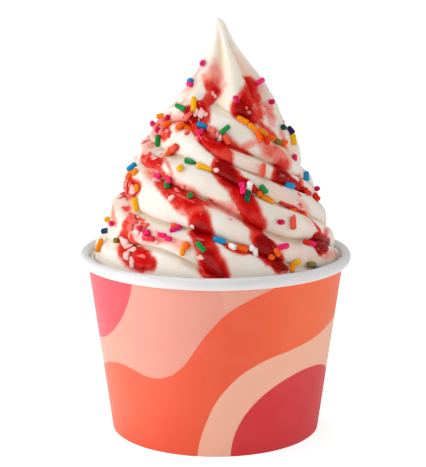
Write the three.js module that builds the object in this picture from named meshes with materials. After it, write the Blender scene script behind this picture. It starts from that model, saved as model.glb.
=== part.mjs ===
// A paper cup of soft-serve frozen yogurt: a tapered cup wall with a curled rim and a folded foot,
// a skirted bottom disc set up inside the foot, and one piped body of yogurt that fills the cup
// and rises above it in six twisted ribs to a leaning tip. Millimetres, +Z up along the cup's axis,
// origin at the middle of the foot's underside, -Y is the front.
import * as THREE from "three";
import { ParametricGeometry } from "three/addons/geometries/ParametricGeometry.js";

// Driving dimensions of the cup.
const RIM_DIAMETER = 100;
const RIM_CENTRE_HEIGHT = 65.25;
const CURL_HALF_WIDTH = 1.65;
const CURL_HALF_HEIGHT = 2.15;
const CURL_START_ANGLES = [175, 172]; // where the curled sheet leaves the wall, inside and outside
const CURL_END_ANGLE = -120; // where it stops, just short of the wall
const FOOT_DIAMETER = 77.1;
const WALL_RADIUS_UNDER_CURL = 47.1;
const SHEET = 0.6; // thickness of the coated paper
const FOLD_HEIGHT = 6; // how far the wall's lower edge is folded up inside
const DISC_UNDERSIDE = 7; // height of the recessed bottom disc
const GAP = 0.3; // clearance between neighbouring pieces

// Driving dimensions of the yogurt.
const FILL_HEIGHT = 61.5; // where it meets the wall
const SWIRL_BASE = 63.5; // where the swirl rises from the filling
const TIP_HEIGHT = 152.2;
const RIB_COUNT = 6;
const RIB_DEPTH = 5;
const VALLEY_PHASE = 0.82; // where a rib's valley lies between its edge (0) and the next edge (1)
const EDGE_SINK = 0.28; // how far a rib's edge lies below its crest, as a share of the depth
const CREST_PHASE = 0.3;
const BELLY_POWER = 2.4; // how full a rib is between its crest and its valley

// Fineness of the faceting.
const CUP_SEGMENTS = 64;
const CURL_STEPS = 7;
const CURL_OUTER_STEPS = 10;
const OUTLINE_STEPS = 12; // spline samples for each pair of an outline
const SWIRL_COLUMNS = 60;
const LEVEL_ROWS_FROM = 121; // rows follow the ribs below this height and are level above it
const LEVEL_ROWS = 13;
const RIB_SECTION = [0, 0.15, 0.36, 0.62, VALLEY_PHASE, 0.91]; // rows along a rib

// Outline of the rib crests, tip to cup: [radius, height].
const CREST_OUTLINE = [
  [0, TIP_HEIGHT],
  [1.9, 150.4],
  [4.6, 143.5],
  [10.3, 134.6],
  [17.2, 126],
  [21, 119],
  [29.2, 106],
  [36.5, 90],
  [42.3, 76],
  [45, 67],
];
// Sideways lean of the swirl's middle line: [offset, height].
const LEAN_OUTLINE = [
  [0.3, 62],
  [0.8, 100],
  [3.5, 131],
  [1.1, TIP_HEIGHT],
];
// The upper edge of each rib where it crosses the front half, left to right: its height at the
// left, how far it falls by the right, and the height and angle of the swell on the way.
const RIB_EDGES = [
  { left: 141.0, fall: 30.5, swell: 3.0, at: -45 },
  { left: 131.1, fall: 37.0, swell: 3.9, at: -62 },
  { left: 119.6, fall: 30.0, swell: 7.0, at: -135 },
  { left: 114.9, fall: 31.0, swell: 5.7, at: -123 },
  { left: 108.4, fall: 34.3, swell: 3.2, at: -97 },
  { left: 101.1, fall: 34.6, swell: -4.7, at: -56 },
  { left: 85.8, fall: 30.5, swell: 3.0, at: -92 },
  { left: 72.3, fall: 25.9, swell: 6.6, at: -118 },
];
const FALL_POWER = 1.5;
const SWELL_WIDTH = 24;
const RIB_SPACING = 11.5; // between rib edges above and below the ones listed
const NARROWING = [0.5, 1.1]; // least and most share of the depth that a narrow or wide rib has
const BACK_STEEPNESS = 2.6; // the most an edge's slope behind exceeds its even fall
const HIGHEST_RIB = -5; // the first and last ribs that reach the twisted part of the swirl
const LOWEST_RIB = 8;
// Angles of the straight grooves at the pulled-up tip, from behind the left round past the left.
const TIP_GROOVES = [-190, -98, -42, 15, 70, 120, 170, 262];
const FIRST_TIP_GROOVE = 3; // the rib that the first of them belongs to
const TWIST_ENDS = 130; // the ribs run straight up above this height
const TWIST_FULL = 113; // and follow their edges below this one

const smoothstep = THREE.MathUtils.smoothstep;
const lerp = THREE.MathUtils.lerp;

// Radius of the wall's outer face at a height.
function wallRadius(height) {
  const rise = RIM_CENTRE_HEIGHT - CURL_HALF_HEIGHT;
  return lerp(FOOT_DIAMETER / 2, WALL_RADIUS_UNDER_CURL, height / rise);
}

// Points of an oval arc in the (radius, height) plane, angles in degrees.
function ovalArc(centre, halfWidth, halfHeight, from, to, steps) {
  return Array.from({ length: steps + 1 }, (_, i) => {
    const angle = THREE.MathUtils.degToRad(lerp(from, to, i / steps));
    return new THREE.Vector2(
      centre.x + halfWidth * Math.cos(angle),
      centre.y + halfHeight * Math.sin(angle),
    );
  });
}

// Turns a closed or axis-to-axis profile of (radius, height) points about +Z.
function turned(profile, segments) {
  return new THREE.LatheGeometry(profile, segments).rotateX(Math.PI / 2);
}

// The side wall: up the outside, round the curl, down the inside, and the folded foot.
function cupWallGeometry() {
  const inset = (height, depth) => new THREE.Vector2(wallRadius(height) - depth, height);
  const curlCentre = new THREE.Vector2(RIM_DIAMETER / 2 - CURL_HALF_WIDTH, RIM_CENTRE_HEIGHT);
  const foldOuter = SHEET + GAP + SHEET + GAP; // the disc's skirt stands in this slot
  const curlInside = ovalArc(
    curlCentre,
    CURL_HALF_WIDTH - SHEET,
    CURL_HALF_HEIGHT - SHEET,
    CURL_START_ANGLES[0],
    CURL_END_ANGLE,
    CURL_STEPS,
  );
  const curlOutside = ovalArc(
    curlCentre,
    CURL_HALF_WIDTH,
    CURL_HALF_HEIGHT,
    CURL_END_ANGLE,
    CURL_START_ANGLES[1],
    CURL_OUTER_STEPS,
  );
  const profile = [
    inset(0, 0),
    inset(RIM_CENTRE_HEIGHT - CURL_HALF_HEIGHT, 0),
    ...curlInside,
    ...curlOutside,
    inset(SHEET, SHEET),
    inset(SHEET, foldOuter),
    inset(FOLD_HEIGHT, foldOuter),
    inset(FOLD_HEIGHT, foldOuter + SHEET),
    inset(0, foldOuter + SHEET),
  ];
  return turned([...profile, profile[0].clone()], CUP_SEGMENTS);
}

// The bottom disc, with a skirt that stands in the foot's fold.
function cupBaseGeometry() {
  const skirtOuter = (height) => wallRadius(height) - SHEET - GAP;
  const skirtFoot = SHEET + GAP;
  const top = DISC_UNDERSIDE + SHEET;
  const profile = [
    new THREE.Vector2(0, DISC_UNDERSIDE),
    new THREE.Vector2(skirtOuter(DISC_UNDERSIDE) - SHEET, DISC_UNDERSIDE),
    new THREE.Vector2(skirtOuter(skirtFoot) - SHEET, skirtFoot),
    new THREE.Vector2(skirtOuter(skirtFoot), skirtFoot),
    new THREE.Vector2(skirtOuter(top), top),
    new THREE.Vector2(0, top),
  ];
  return turned(profile, CUP_SEGMENTS);
}

// A smooth function of height through [value, height] pairs, as a spline read back by height.
function byHeight(pairs) {
  const points = pairs.map(([value, height]) => new THREE.Vector2(value, height));
  const samples = new THREE.SplineCurve(points).getPoints(pairs.length * OUTLINE_STEPS);
  samples.sort((a, b) => a.y - b.y);
  return (height) => {
    const above = samples.findIndex((sample) => sample.y >= height);
    if (above <= 0) return samples[above < 0 ? samples.length - 1 : 0].x;
    const [low, high] = [samples[above - 1], samples[above]];
    return lerp(low.x, high.x, (height - low.y) / (high.y - low.y));
  };
}
const crestRadius = byHeight(CREST_OUTLINE);
const lean = byHeight(LEAN_OUTLINE);

// Height of a rib's upper edge on the front half, at an angle from -180 (left) to 0 (right).
function frontEdgeHeight(rib, angle) {
  const last = RIB_EDGES.length - 1;
  const listed = Math.min(Math.max(rib, 0), last);
  const { left, fall, swell, at } = RIB_EDGES[listed];
  const across = (angle + 180) / 180;
  const swelling = swell * Math.exp(-(((angle - at) / SWELL_WIDTH) ** 2));
  return left - fall * across ** FALL_POWER + swelling + RIB_SPACING * (listed - rib);
}

// The same all the way round: behind, an edge runs on smoothly from the right and levels out to
// where it comes round at the left, a whole set of ribs further on.
function edgeHeight(rib, angle) {
  if (angle <= 0) return frontEdgeHeight(rib, angle);
  const start = frontEdgeHeight(rib, 0);
  const drop = start - frontEdgeHeight(rib + RIB_COUNT, -180);
  const startSlope = (frontEdgeHeight(rib, -1) - start) * 180;
  const steepness = Math.min(startSlope, BACK_STEEPNESS * drop);
  const t = angle / 180;
  return start - steepness * t * (1 - t) ** 2 - drop * t * t * (3 - 2 * t);
}

// Place among the twisted ribs: a whole number on a rib's upper edge, growing downwards.
function twistedPhase(angle, height) {
  let rib = HIGHEST_RIB - 1;
  while (edgeHeight(rib + 1, angle) > height) rib += 1;
  const top = edgeHeight(rib, angle);
  const bottom = edgeHeight(rib + 1, angle);
  return rib + (top - height) / (top - bottom);
}

// Height of a place on a rib, from its upper edge (0) to the next rib's (1).
function ribHeight(rib, section, angle) {
  return lerp(edgeHeight(rib, angle), edgeHeight(rib + 1, angle), section);
}

// Place among the straight ribs of the tip, in the same numbering.
function tipPhase(angle) {
  const next = TIP_GROOVES.findIndex((groove) => groove > angle);
  const [from, to] = [TIP_GROOVES[next - 1], TIP_GROOVES[next]];
  const across = (angle - from) / (to - from);
  return FIRST_TIP_GROOVE - (next - 1) - across - (1 - VALLEY_PHASE);
}

// How far the surface lies below the crest outline across one twisted rib, from 0 (crest) to 1
// (valley): a crisp edge, a full belly and a tucked-in underside.
function twistedSink(phase) {
  const u = phase - Math.floor(phase);
  if (u < CREST_PHASE) return EDGE_SINK * (1 - u / CREST_PHASE) ** 2;
  if (u < VALLEY_PHASE) {
    const along = (u - CREST_PHASE) / (VALLEY_PHASE - CREST_PHASE);
    return 1 - Math.sqrt(1 - along ** BELLY_POWER);
  }
  return lerp(1, EDGE_SINK, (u - VALLEY_PHASE) / (1 - VALLEY_PHASE));
}

// The same across the softly rounded ribs of the tip.
function tipSink(phase) {
  return 0.5 + 0.5 * Math.cos(2 * Math.PI * (phase - VALLEY_PHASE));
}

// Depth of the valleys: full on the body, less between narrow ribs, and fading to nothing at the
// tip and in the cup.
function ribDepth(angle, height) {
  const rib = Math.floor(twistedPhase(angle, height));
  const width = edgeHeight(rib, angle) - edgeHeight(rib + 1, angle);
  const narrowing = THREE.MathUtils.clamp(width / RIB_SPACING, ...NARROWING);
  const towardsTip = smoothstep(TIP_HEIGHT - height, 0, TIP_HEIGHT - TWIST_FULL);
  const aboveFill = smoothstep(height, FILL_HEIGHT, FILL_HEIGHT + RIB_SPACING);
  const straightness = smoothstep(height, TWIST_FULL, TWIST_ENDS);
  return RIB_DEPTH * lerp(narrowing, 1, straightness) * towardsTip * aboveFill;
}

// A point of the swirl's surface, from its angle in degrees and its height.
function swirlPoint(angle, height) {
  const straightness = smoothstep(height, TWIST_FULL, TWIST_ENDS);
  const twisted = twistedSink(twistedPhase(angle, height));
  const sink = lerp(twisted, tipSink(tipPhase(angle)), straightness);
  const radius = crestRadius(height) - ribDepth(angle, height) * sink;
  const turn = THREE.MathUtils.degToRad(angle);
  return [radius * Math.cos(turn) + lean(height), radius * Math.sin(turn), height];
}

// The yogurt as rows from the middle of its underside to the tip. In the cup a row is a circle.
// Above it a row follows a rib round and down, a whole set of ribs for each turn, so the end of
// a row meets the start of a lower one. Near the tip the rows are level again.
function yogurtRows() {
  const wallInside = (height) => wallRadius(height) - SHEET - GAP;
  const circle = (radius, height) => (angle) => {
    const turn = THREE.MathUtils.degToRad(angle);
    return [radius * Math.cos(turn), radius * Math.sin(turn), height];
  };
  const bottom = DISC_UNDERSIDE + SHEET + GAP;
  const rows = [
    circle(0, bottom),
    circle(wallInside(bottom), bottom),
    circle(wallInside(FILL_HEIGHT), FILL_HEIGHT),
  ];
  for (let rib = LOWEST_RIB - 1; rib >= HIGHEST_RIB; rib -= 1) {
    for (const section of [...RIB_SECTION].reverse()) {
      rows.push((angle) => {
        const height = ribHeight(rib, section, angle);
        return swirlPoint(angle, THREE.MathUtils.clamp(height, SWIRL_BASE, LEVEL_ROWS_FROM));
      });
    }
  }
  for (let row = 1; row < LEVEL_ROWS; row += 1) {
    const height = lerp(LEVEL_ROWS_FROM, TIP_HEIGHT, row / LEVEL_ROWS);
    rows.push((angle) => swirlPoint(angle, height));
  }
  rows.push(() => [lean(TIP_HEIGHT), 0, TIP_HEIGHT]);
  return rows;
}

function yogurtGeometry() {
  const rows = yogurtRows();
  const surface = (across, up, target) => {
    const row = rows[Math.round(up * (rows.length - 1))];
    target.set(...row(lerp(-180, 180, across)));
  };
  return new ParametricGeometry(surface, SWIRL_COLUMNS, rows.length - 1);
}

function named(name, geometry, material) {
  const mesh = new THREE.Mesh(geometry, new THREE.MeshStandardMaterial(material));
  mesh.name = name;
  return mesh;
}

const cup = new THREE.Group();
cup.add(
  named("cup_wall", cupWallGeometry(), { color: 0xf08a6c, roughness: 0.45, metalness: 0 }),
  named("cup_base", cupBaseGeometry(), { color: 0xf4f2ee, roughness: 0.5, metalness: 0 }),
  named("yogurt", yogurtGeometry(), { color: 0xf6f0e4, roughness: 0.4, metalness: 0 }),
);

export default cup;
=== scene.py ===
"""A paper cup of soft-serve frozen yogurt with strawberry sauce and sugar sprinkles.

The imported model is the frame. The yogurt and the cup's wall are remodelled finely in the places
of their solids, and the sauce, the fruit pulp and the sprinkles are laid on the yogurt.
"""

from __future__ import annotations

import logging
import math
import random
from contextlib import contextmanager
from dataclasses import dataclass, field
from enum import Enum
from typing import Iterator, Sequence, Union

import bpy
import numpy as np
from mathutils import Matrix, Vector, noise
from mathutils.bvhtree import BVHTree

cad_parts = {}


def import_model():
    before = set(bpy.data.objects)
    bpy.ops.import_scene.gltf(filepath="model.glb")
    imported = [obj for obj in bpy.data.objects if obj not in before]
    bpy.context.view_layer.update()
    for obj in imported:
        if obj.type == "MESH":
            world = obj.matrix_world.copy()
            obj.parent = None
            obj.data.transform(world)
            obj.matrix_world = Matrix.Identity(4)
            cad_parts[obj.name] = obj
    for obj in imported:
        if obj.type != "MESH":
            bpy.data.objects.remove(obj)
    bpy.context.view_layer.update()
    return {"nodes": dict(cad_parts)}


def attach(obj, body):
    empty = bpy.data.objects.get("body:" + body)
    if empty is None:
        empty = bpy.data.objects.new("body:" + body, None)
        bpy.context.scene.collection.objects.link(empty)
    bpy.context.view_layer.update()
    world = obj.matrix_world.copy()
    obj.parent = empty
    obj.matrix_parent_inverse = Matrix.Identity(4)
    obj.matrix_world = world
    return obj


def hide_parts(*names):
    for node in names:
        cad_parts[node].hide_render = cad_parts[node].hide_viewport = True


LOG = logging.getLogger("frozen_yogurt_cup")
BODY = "root"
MM = 0.001
FULL_TURN = 360.0
HALF_TURN = 180.0

Piece = bpy.types.Object
Mesh = bpy.types.Mesh
Tree = bpy.types.NodeTree
Node = bpy.types.Node
Socket = bpy.types.NodeSocket
Array = np.ndarray
Range = tuple[float, float]
Lumps = tuple[float, float]
Triple = tuple[float, float, float]
Rgba = tuple[float, float, float, float]
Spot = tuple[float, float, float, float]
Pairs = tuple[tuple[float, float], ...]
Hit = tuple[Vector, Vector]
Source = Union[Socket, float, Rgba]

WHITE: Rgba = (1.0, 1.0, 1.0, 1.0)


# --- Small helpers ---


def colour(red: float, green: float, blue: float) -> Rgba:
    """Turn a display colour of 0 to 255 into the shader's linear values.

    Args:
        red: Red part, 0 to 255.
        green: Green part, 0 to 255.
        blue: Blue part, 0 to 255.

    Returns:
        Linear red, green and blue with an alpha of one.
    """

    def linear(part: float) -> float:
        """Undo the display curve of one part."""
        share = part / 255.0
        return share / 12.92 if share <= 0.04045 else ((share + 0.055) / 1.055) ** 2.4

    return (linear(red), linear(green), linear(blue), 1.0)


def smoothstep(value: Array, low: float, high: float) -> Array:
    """Ease from 0 at low to 1 at high."""
    share = np.clip((value - low) / (high - low), 0.0, 1.0)
    return share * share * (3.0 - 2.0 * share)


def blend(first: Array, second: Array, share: Array) -> Array:
    """Mix two values by a share of the second."""
    return first + (second - first) * share


def clear_selection() -> None:
    """Leave nothing selected, because operators act on all that is."""
    if bpy.context.object is not None and bpy.context.object.mode != "OBJECT":
        bpy.ops.object.mode_set(mode="OBJECT")
    bpy.ops.object.select_all(action="DESELECT")


def activate(piece: Piece) -> None:
    """Select one object alone and make it the active one.

    Args:
        piece: The object.
    """
    clear_selection()
    piece.select_set(True)
    bpy.context.view_layer.objects.active = piece


def newest(name: str) -> Piece:
    """Name the object that an add operator has just made, and its mesh.

    Args:
        name: The piece's name.

    Returns:
        The object.
    """
    piece = bpy.context.object
    piece.name = name
    piece.data.name = name
    return piece


@contextmanager
def editing(piece: Piece) -> Iterator[None]:
    """Work on one object in edit mode.

    Args:
        piece: The object.

    Yields:
        Nothing, while the object is in edit mode.
    """
    activate(piece)
    bpy.ops.object.mode_set(mode="EDIT")
    yield
    bpy.ops.object.mode_set(mode="OBJECT")


def rows_from(items: bpy.types.bpy_prop_collection, key: str) -> Array:
    """Read one vector of each item as rows of x, y and z.

    Args:
        items: A mesh's collection, such as its vertices.
        key: The name of the vector.

    Returns:
        The rows.
    """
    flat = np.empty(len(items) * 3)
    items.foreach_get(key, flat)
    return flat.reshape(-1, 3)


def points_of(mesh: Mesh) -> Array:
    """Read a mesh's points as rows of x, y and z."""
    return rows_from(mesh.vertices, "co")


def normals_of(mesh: Mesh) -> Array:
    """Read a mesh's point normals as rows of x, y and z."""
    return rows_from(mesh.vertex_normals, "vector")


def set_points(mesh: Mesh, points: Array) -> None:
    """Write a mesh's points."""
    mesh.vertices.foreach_set("co", np.ascontiguousarray(points, dtype=np.float64).ravel())
    mesh.update()


def write_attribute(mesh: Mesh, name: str, values: Array) -> None:
    """Store one number per point under a name that a material can read."""
    layer = mesh.attributes.new(name, "FLOAT", "POINT")
    layer.data.foreach_set("value", np.ascontiguousarray(values, dtype=np.float32))


def read_attribute(mesh: Mesh, name: str) -> Array:
    """Read the number that a mesh stores per point under a name.

    Args:
        mesh: The mesh.
        name: The attribute's name.

    Returns:
        One value per point.
    """
    values = np.empty(len(mesh.vertices), dtype=np.float32)
    mesh.attributes[name].data.foreach_get("value", values)
    return values


def weld(piece: Piece, reach: float) -> None:
    """Merge a piece's doubles and turn its faces outwards.

    Args:
        piece: The piece.
        reach: Points nearer than this, in metres, become one.
    """
    with editing(piece):
        bpy.ops.mesh.select_all(action="SELECT")
        bpy.ops.mesh.remove_doubles(threshold=reach)
        bpy.ops.mesh.normals_make_consistent(inside=False)


def relax(piece: Piece, weights: Array, passes: int) -> None:
    """Smooth a piece's mesh where its weights say.

    Args:
        piece: The piece.
        weights: How far each point takes part, 0 to 1.
        passes: How often each point moves half way to the middle of its neighbours.
    """
    taking_part = piece.vertex_groups.new(name="relaxed")
    for index in np.flatnonzero(weights):
        taking_part.add([int(index)], float(weights[index]), "REPLACE")
    smoothing = piece.modifiers.new("relaxed", "SMOOTH")
    smoothing.factor = 0.5
    smoothing.iterations = passes
    smoothing.vertex_group = taking_part.name
    activate(piece)
    bpy.ops.object.modifier_apply(modifier=smoothing.name)
    piece.vertex_groups.clear()


def smooth_under(piece: Piece, degrees: float) -> None:
    """Shade a piece smoothly, apart from edges sharper than an angle."""
    activate(piece)
    bpy.ops.object.shade_smooth_by_angle(angle=math.radians(degrees))


def lumps(points: Array, size: float, seed: float) -> Array:
    """Smooth noise from about -1 to 1 at each point.

    Args:
        points: Rows of x, y and z in metres.
        size: Size of the lumps in metres.
        seed: Shifts the pattern.

    Returns:
        One value per point.
    """
    shift = Vector((seed, seed * 1.7, -seed))
    scaled = points / size
    return np.fromiter((noise.noise(Vector(p) + shift) for p in scaled), float, len(points))


# --- Camera and studio ---


@dataclass(frozen=True)
class StudioCamera:
    """The camera, a little above the cup and in front of it."""

    place: Triple = (-0.00088, -0.56977, 0.19066)
    pitch: float = 78.337
    focal_pixels: float = 1575.75
    image_width: int = 426
    image_height: int = 467
    sensor: float = 36.0
    nearest: float = 0.01

    def build(self) -> None:
        """Create the camera and make it the scene's."""
        data = bpy.data.cameras.new("studio_camera")
        data.sensor_width = self.sensor
        data.lens = self.focal_pixels * self.sensor / max(self.image_width, self.image_height)
        data.clip_start = self.nearest
        camera = bpy.data.objects.new("studio_camera", data)
        camera.location = self.place
        camera.rotation_euler = (math.radians(self.pitch), 0.0, 0.0)
        bpy.context.scene.collection.objects.link(camera)
        bpy.context.scene.camera = camera

    def axes(self) -> tuple[Vector, Vector, Vector]:
        """Give the image's right and up directions and the way the camera looks."""
        turn = Matrix.Rotation(math.radians(self.pitch), 3, "X")
        return turn @ Vector((1, 0, 0)), turn @ Vector((0, 1, 0)), turn @ Vector((0, 0, -1))

    def ray(self, across: float, down: float) -> tuple[Vector, Vector]:
        """Find the line of sight through a place in the image.

        Args:
            across: Pixels from the image's left side.
            down: Pixels from its top.

        Returns:
            The camera's place and the direction of the line.
        """
        right, up, ahead = self.axes()
        sideways = (across - self.image_width / 2) / self.focal_pixels
        upwards = (self.image_height / 2 - down) / self.focal_pixels
        return Vector(self.place), (ahead + right * sideways + up * upwards).normalized()


@dataclass(frozen=True)
class Softbox:
    """One soft area light that points at the middle of the cup."""

    name: str
    place: Triple
    width: float
    power: float
    tint: Triple = (1.0, 1.0, 1.0)

    def build(self, target: Vector) -> None:
        """Create the light.

        Args:
            target: The point that it faces.
        """
        data = bpy.data.lights.new(self.name, "AREA")
        data.shape = "DISK"
        data.size = self.width
        data.energy = self.power
        data.color = self.tint
        lamp = bpy.data.objects.new(self.name, data)
        lamp.location = self.place
        lamp.rotation_euler = (target - Vector(self.place)).to_track_quat("-Z", "Y").to_euler()
        bpy.context.scene.collection.objects.link(lamp)


@dataclass
class Studio:
    """The pale floor, the even surroundings and the lights."""

    floor_size: float = 6.0
    floor_drop: float = 0.0002
    lit_height: float = 0.08
    surroundings: float = 0.35
    seen_brightness: float = 1.0
    lights: tuple[Softbox, ...] = (
        Softbox("key_light", (-0.88, -0.22, 0.48), 0.30, 3.5, (1.0, 0.99, 0.98)),
        Softbox("fill_light", (0.85, -0.22, 0.10), 0.40, 1.95, (1.0, 0.965, 0.94)),
        Softbox("top_light", (-0.16, -0.06, 0.97), 0.40, 2.4),
        Softbox("front_light", (-0.30, -0.75, 0.55), 0.07, 0.6),
    )

    def build(self) -> None:
        """Lay the floor, light the scene and set its surroundings."""
        clear_selection()
        bpy.ops.mesh.primitive_plane_add(size=self.floor_size, location=(0, 0, -self.floor_drop))
        floor = newest("studio_floor")
        floor.data.materials.append(FloorFinish().material())
        for light in self.lights:
            light.build(Vector((0, 0, self.lit_height)))
        world = bpy.data.worlds.new("studio_world")
        world.use_nodes = True
        graph = Graph(world.node_tree)
        backdrop = world.node_tree.nodes["Background"]
        backdrop.inputs["Color"].default_value = WHITE
        extra = self.seen_brightness - self.surroundings
        strength = graph.linear(graph.camera_ray(), extra, self.surroundings)
        graph.feed(backdrop.inputs["Strength"], strength)
        bpy.context.scene.world = world
        bpy.context.scene.view_settings.view_transform = "Standard"


# --- Shader building ---


class Graph:
    """A node tree with short calls for the nodes that the finishes use."""

    def __init__(self, tree: Tree) -> None:
        """Work on a tree."""
        self.tree = tree

    def node(self, kind: str, **settings: object) -> Node:
        """Add a node.

        Args:
            kind: The node's type.
            **settings: Its plain properties.

        Returns:
            The node.
        """
        made = self.tree.nodes.new(kind)
        for key, value in settings.items():
            setattr(made, key, value)
        return made

    def feed(self, socket: Socket, source: Source) -> None:
        """Link a socket to another one, or set it to a plain value.

        Args:
            socket: The socket to feed.
            source: The other socket, or the value.
        """
        if isinstance(source, Socket):
            self.tree.links.new(source, socket)
        else:
            socket.default_value = source

    def math(self, operation: str, *values: Source) -> Socket:
        """Add a Math node.

        Args:
            operation: What it does.
            *values: Sockets or numbers that it works on.

        Returns:
            The socket of its result.
        """
        made = self.node("ShaderNodeMath", operation=operation)
        for socket, value in zip(made.inputs, values):
            self.feed(socket, value)
        return made.outputs[0]

    def linear(self, value: Source, slope: Source, start: Source) -> Socket:
        """Give start plus slope times a value."""
        return self.math("MULTIPLY_ADD", value, slope, start)

    def ramp(self, value: Source, low: float, high: float) -> Socket:
        """Ease a value to 0 at low and 1 at high.

        Args:
            value: The value.
            low: Where the result is 0.
            high: Where it is 1.

        Returns:
            The socket of the result.
        """
        made = self.node("ShaderNodeMapRange", clamp=True, interpolation_type="SMOOTHSTEP")
        self.feed(made.inputs["Value"], value)
        self.feed(made.inputs["From Min"], low)
        self.feed(made.inputs["From Max"], high)
        return made.outputs["Result"]

    def mix(self, share: Source, first: Source, second: Source) -> Socket:
        """Mix two colours.

        Args:
            share: Share of the second, 0 to 1.
            first: The first colour.
            second: The second colour.

        Returns:
            The socket of the mixed colour.
        """
        made = self.node("ShaderNodeMix", data_type="RGBA")
        self.feed(made.inputs["Factor"], share)
        self.feed(made.inputs["A"], first)
        self.feed(made.inputs["B"], second)
        return made.outputs["Result"]

    def noise(self, scale: Source, detail: float) -> Socket:
        """Read smooth noise at the place on the object.

        Args:
            scale: How many waves there are to a metre.
            detail: How many finer octaves there are.

        Returns:
            The socket of the noise, 0 to 1.
        """
        made = self.node("ShaderNodeTexNoise")
        self.feed(made.inputs["Vector"], self.object_place())
        self.feed(made.inputs["Scale"], scale)
        self.feed(made.inputs["Detail"], detail)
        return made.outputs["Fac"]

    def object_place(self) -> Socket:
        """Give the place on the object, in metres."""
        return self.node("ShaderNodeTexCoord").outputs["Object"]

    def object_axes(self) -> Sequence[Socket]:
        """Give the place on the object as three numbers.

        Returns:
            The sockets of x, y and z, in metres.
        """
        parts = self.node("ShaderNodeSeparateXYZ")
        self.feed(parts.inputs[0], self.object_place())
        return parts.outputs

    def attribute(self, name: str) -> Socket:
        """Read a number that the mesh stores per point."""
        return self.node("ShaderNodeAttribute", attribute_name=name).outputs["Fac"]

    def camera_ray(self) -> Socket:
        """Give 1 where the camera sees something itself, and 0 where it only lights others."""
        return self.node("ShaderNodeLightPath").outputs["Is Camera Ray"]


@dataclass(frozen=True)
class SharedEffect:
    """A shader node group that materials share. Each kind says what it works out."""

    label: str

    def place(self, graph: Graph, **values: Source) -> Socket:
        """Place the effect in a material, after making its group on first use.

        Args:
            graph: The material's graph.
            **values: Sockets or values for its inputs, by name.

        Returns:
            The socket of its output.
        """
        made = graph.node("ShaderNodeGroup")
        made.node_tree = bpy.data.node_groups.get(self.label) or self.build()
        for name, value in values.items():
            graph.feed(made.inputs[name], value)
        return made.outputs[0]

    def start(self, output: str, **inputs: float | Rgba) -> tuple[Graph, Node, Socket]:
        """Create the group with its inputs and its output.

        Args:
            output: The output's name: "Tone" for a colour, or another one for a number.
            **inputs: A starting value for each input: four numbers for a colour, or one number.

        Returns:
            The group's graph, its input node and the socket that its result goes to.
        """
        tree = bpy.data.node_groups.new(self.label, "ShaderNodeTree")
        colours, numbers = "NodeSocketColor", "NodeSocketFloat"
        for name, start in inputs.items():
            kind = colours if isinstance(start, tuple) else numbers
            tree.interface.new_socket(name, in_out="INPUT", socket_type=kind).default_value = start
        kind = colours if output == "Tone" else numbers
        tree.interface.new_socket(output, in_out="OUTPUT", socket_type=kind)
        entry, leave = tree.nodes.new("NodeGroupInput"), tree.nodes.new("NodeGroupOutput")
        return Graph(tree), entry, leave.inputs[0]

    def build(self) -> Tree:
        """Make the group."""
        raise NotImplementedError


@dataclass(frozen=True)
class MottledTone(SharedEffect):
    """Makes a tone slightly uneven over the surface, towards another one."""

    label: str = "mottled_tone"
    detail: float = 3.0
    low: float = 0.35
    high: float = 0.7

    def build(self) -> Tree:
        """Make the group.

        Returns:
            The group's tree.
        """
        graph, entry, result = self.start("Tone", Tone=WHITE, Other=WHITE, Scale=60.0, Amount=0.5)
        patches = graph.ramp(graph.noise(entry.outputs["Scale"], self.detail), self.low, self.high)
        share = graph.math("MULTIPLY", patches, entry.outputs["Amount"])
        graph.feed(result, graph.mix(share, entry.outputs["Tone"], entry.outputs["Other"]))
        return graph.tree


@dataclass(frozen=True)
class FineGrain(SharedEffect):
    """Gives a height for bump: broad softness with fine grain on it."""

    label: str = "fine_grain"
    broad_detail: float = 2.0
    fine_detail: float = 4.0

    def build(self) -> Tree:
        """Make the group.

        Returns:
            The group's tree.
        """
        graph, entry, result = self.start("Height", Broad=120.0, Fine=900.0, Share=0.3)
        broad = graph.noise(entry.outputs["Broad"], self.broad_detail)
        fine = graph.noise(entry.outputs["Fine"], self.fine_detail)
        graph.feed(result, graph.linear(fine, entry.outputs["Share"], broad))
        return graph.tree


@dataclass(frozen=True)
class SauceLayer:
    """A tone of the sauce, which eases in between two wetnesses."""

    start: float
    full: float
    tone: Rgba


@dataclass(frozen=True)
class SauceTone(SharedEffect):
    """Colours yogurt by how much sauce lies on it or has soaked in.

    It takes the yogurt's own tone and the wetness, 0 on clean yogurt and 1 or more in a pool.
    Each unevenness is (waves to a metre, octaves, height).
    """

    label: str = "sauce_tone"
    fine: Triple = (330.0, 3.0, 0.5)
    broad: Triple = (120.0, 2.0, 0.4)
    uneven: Range = (0.05, 0.5)
    calmer: Range = (0.62, 0.95)
    calming: float = 0.6
    layers: tuple[SauceLayer, ...] = (
        SauceLayer(0.03, 0.44, colour(243, 158, 142)),
        SauceLayer(0.36, 0.66, colour(232, 66, 52)),
        SauceLayer(0.64, 0.94, colour(206, 4, 2)),
        SauceLayer(0.93, 1.2, colour(148, 0, 0)),
    )

    def build(self) -> Tree:
        """Make the group.

        Returns:
            The group's tree.
        """
        graph, entry, result = self.start("Tone", Tone=WHITE, Wet=0.0)
        wet = entry.outputs["Wet"]
        fine, broad = (
            graph.linear(graph.noise(scale, detail), height, -height / 2)
            for scale, detail, height in (self.fine, self.broad)
        )
        amount = graph.math("ADD", fine, broad)
        amount = graph.math("MULTIPLY", graph.ramp(wet, *self.uneven), amount)
        calm = graph.linear(graph.ramp(wet, *self.calmer), -self.calming, 1.0)
        wet = graph.math("ADD", wet, graph.math("MULTIPLY", amount, calm))
        tone = entry.outputs["Tone"]
        for layer in self.layers:
            tone = graph.mix(graph.ramp(wet, layer.start, layer.full), tone, layer.tone)
        graph.feed(result, tone)
        return graph.tree


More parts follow.
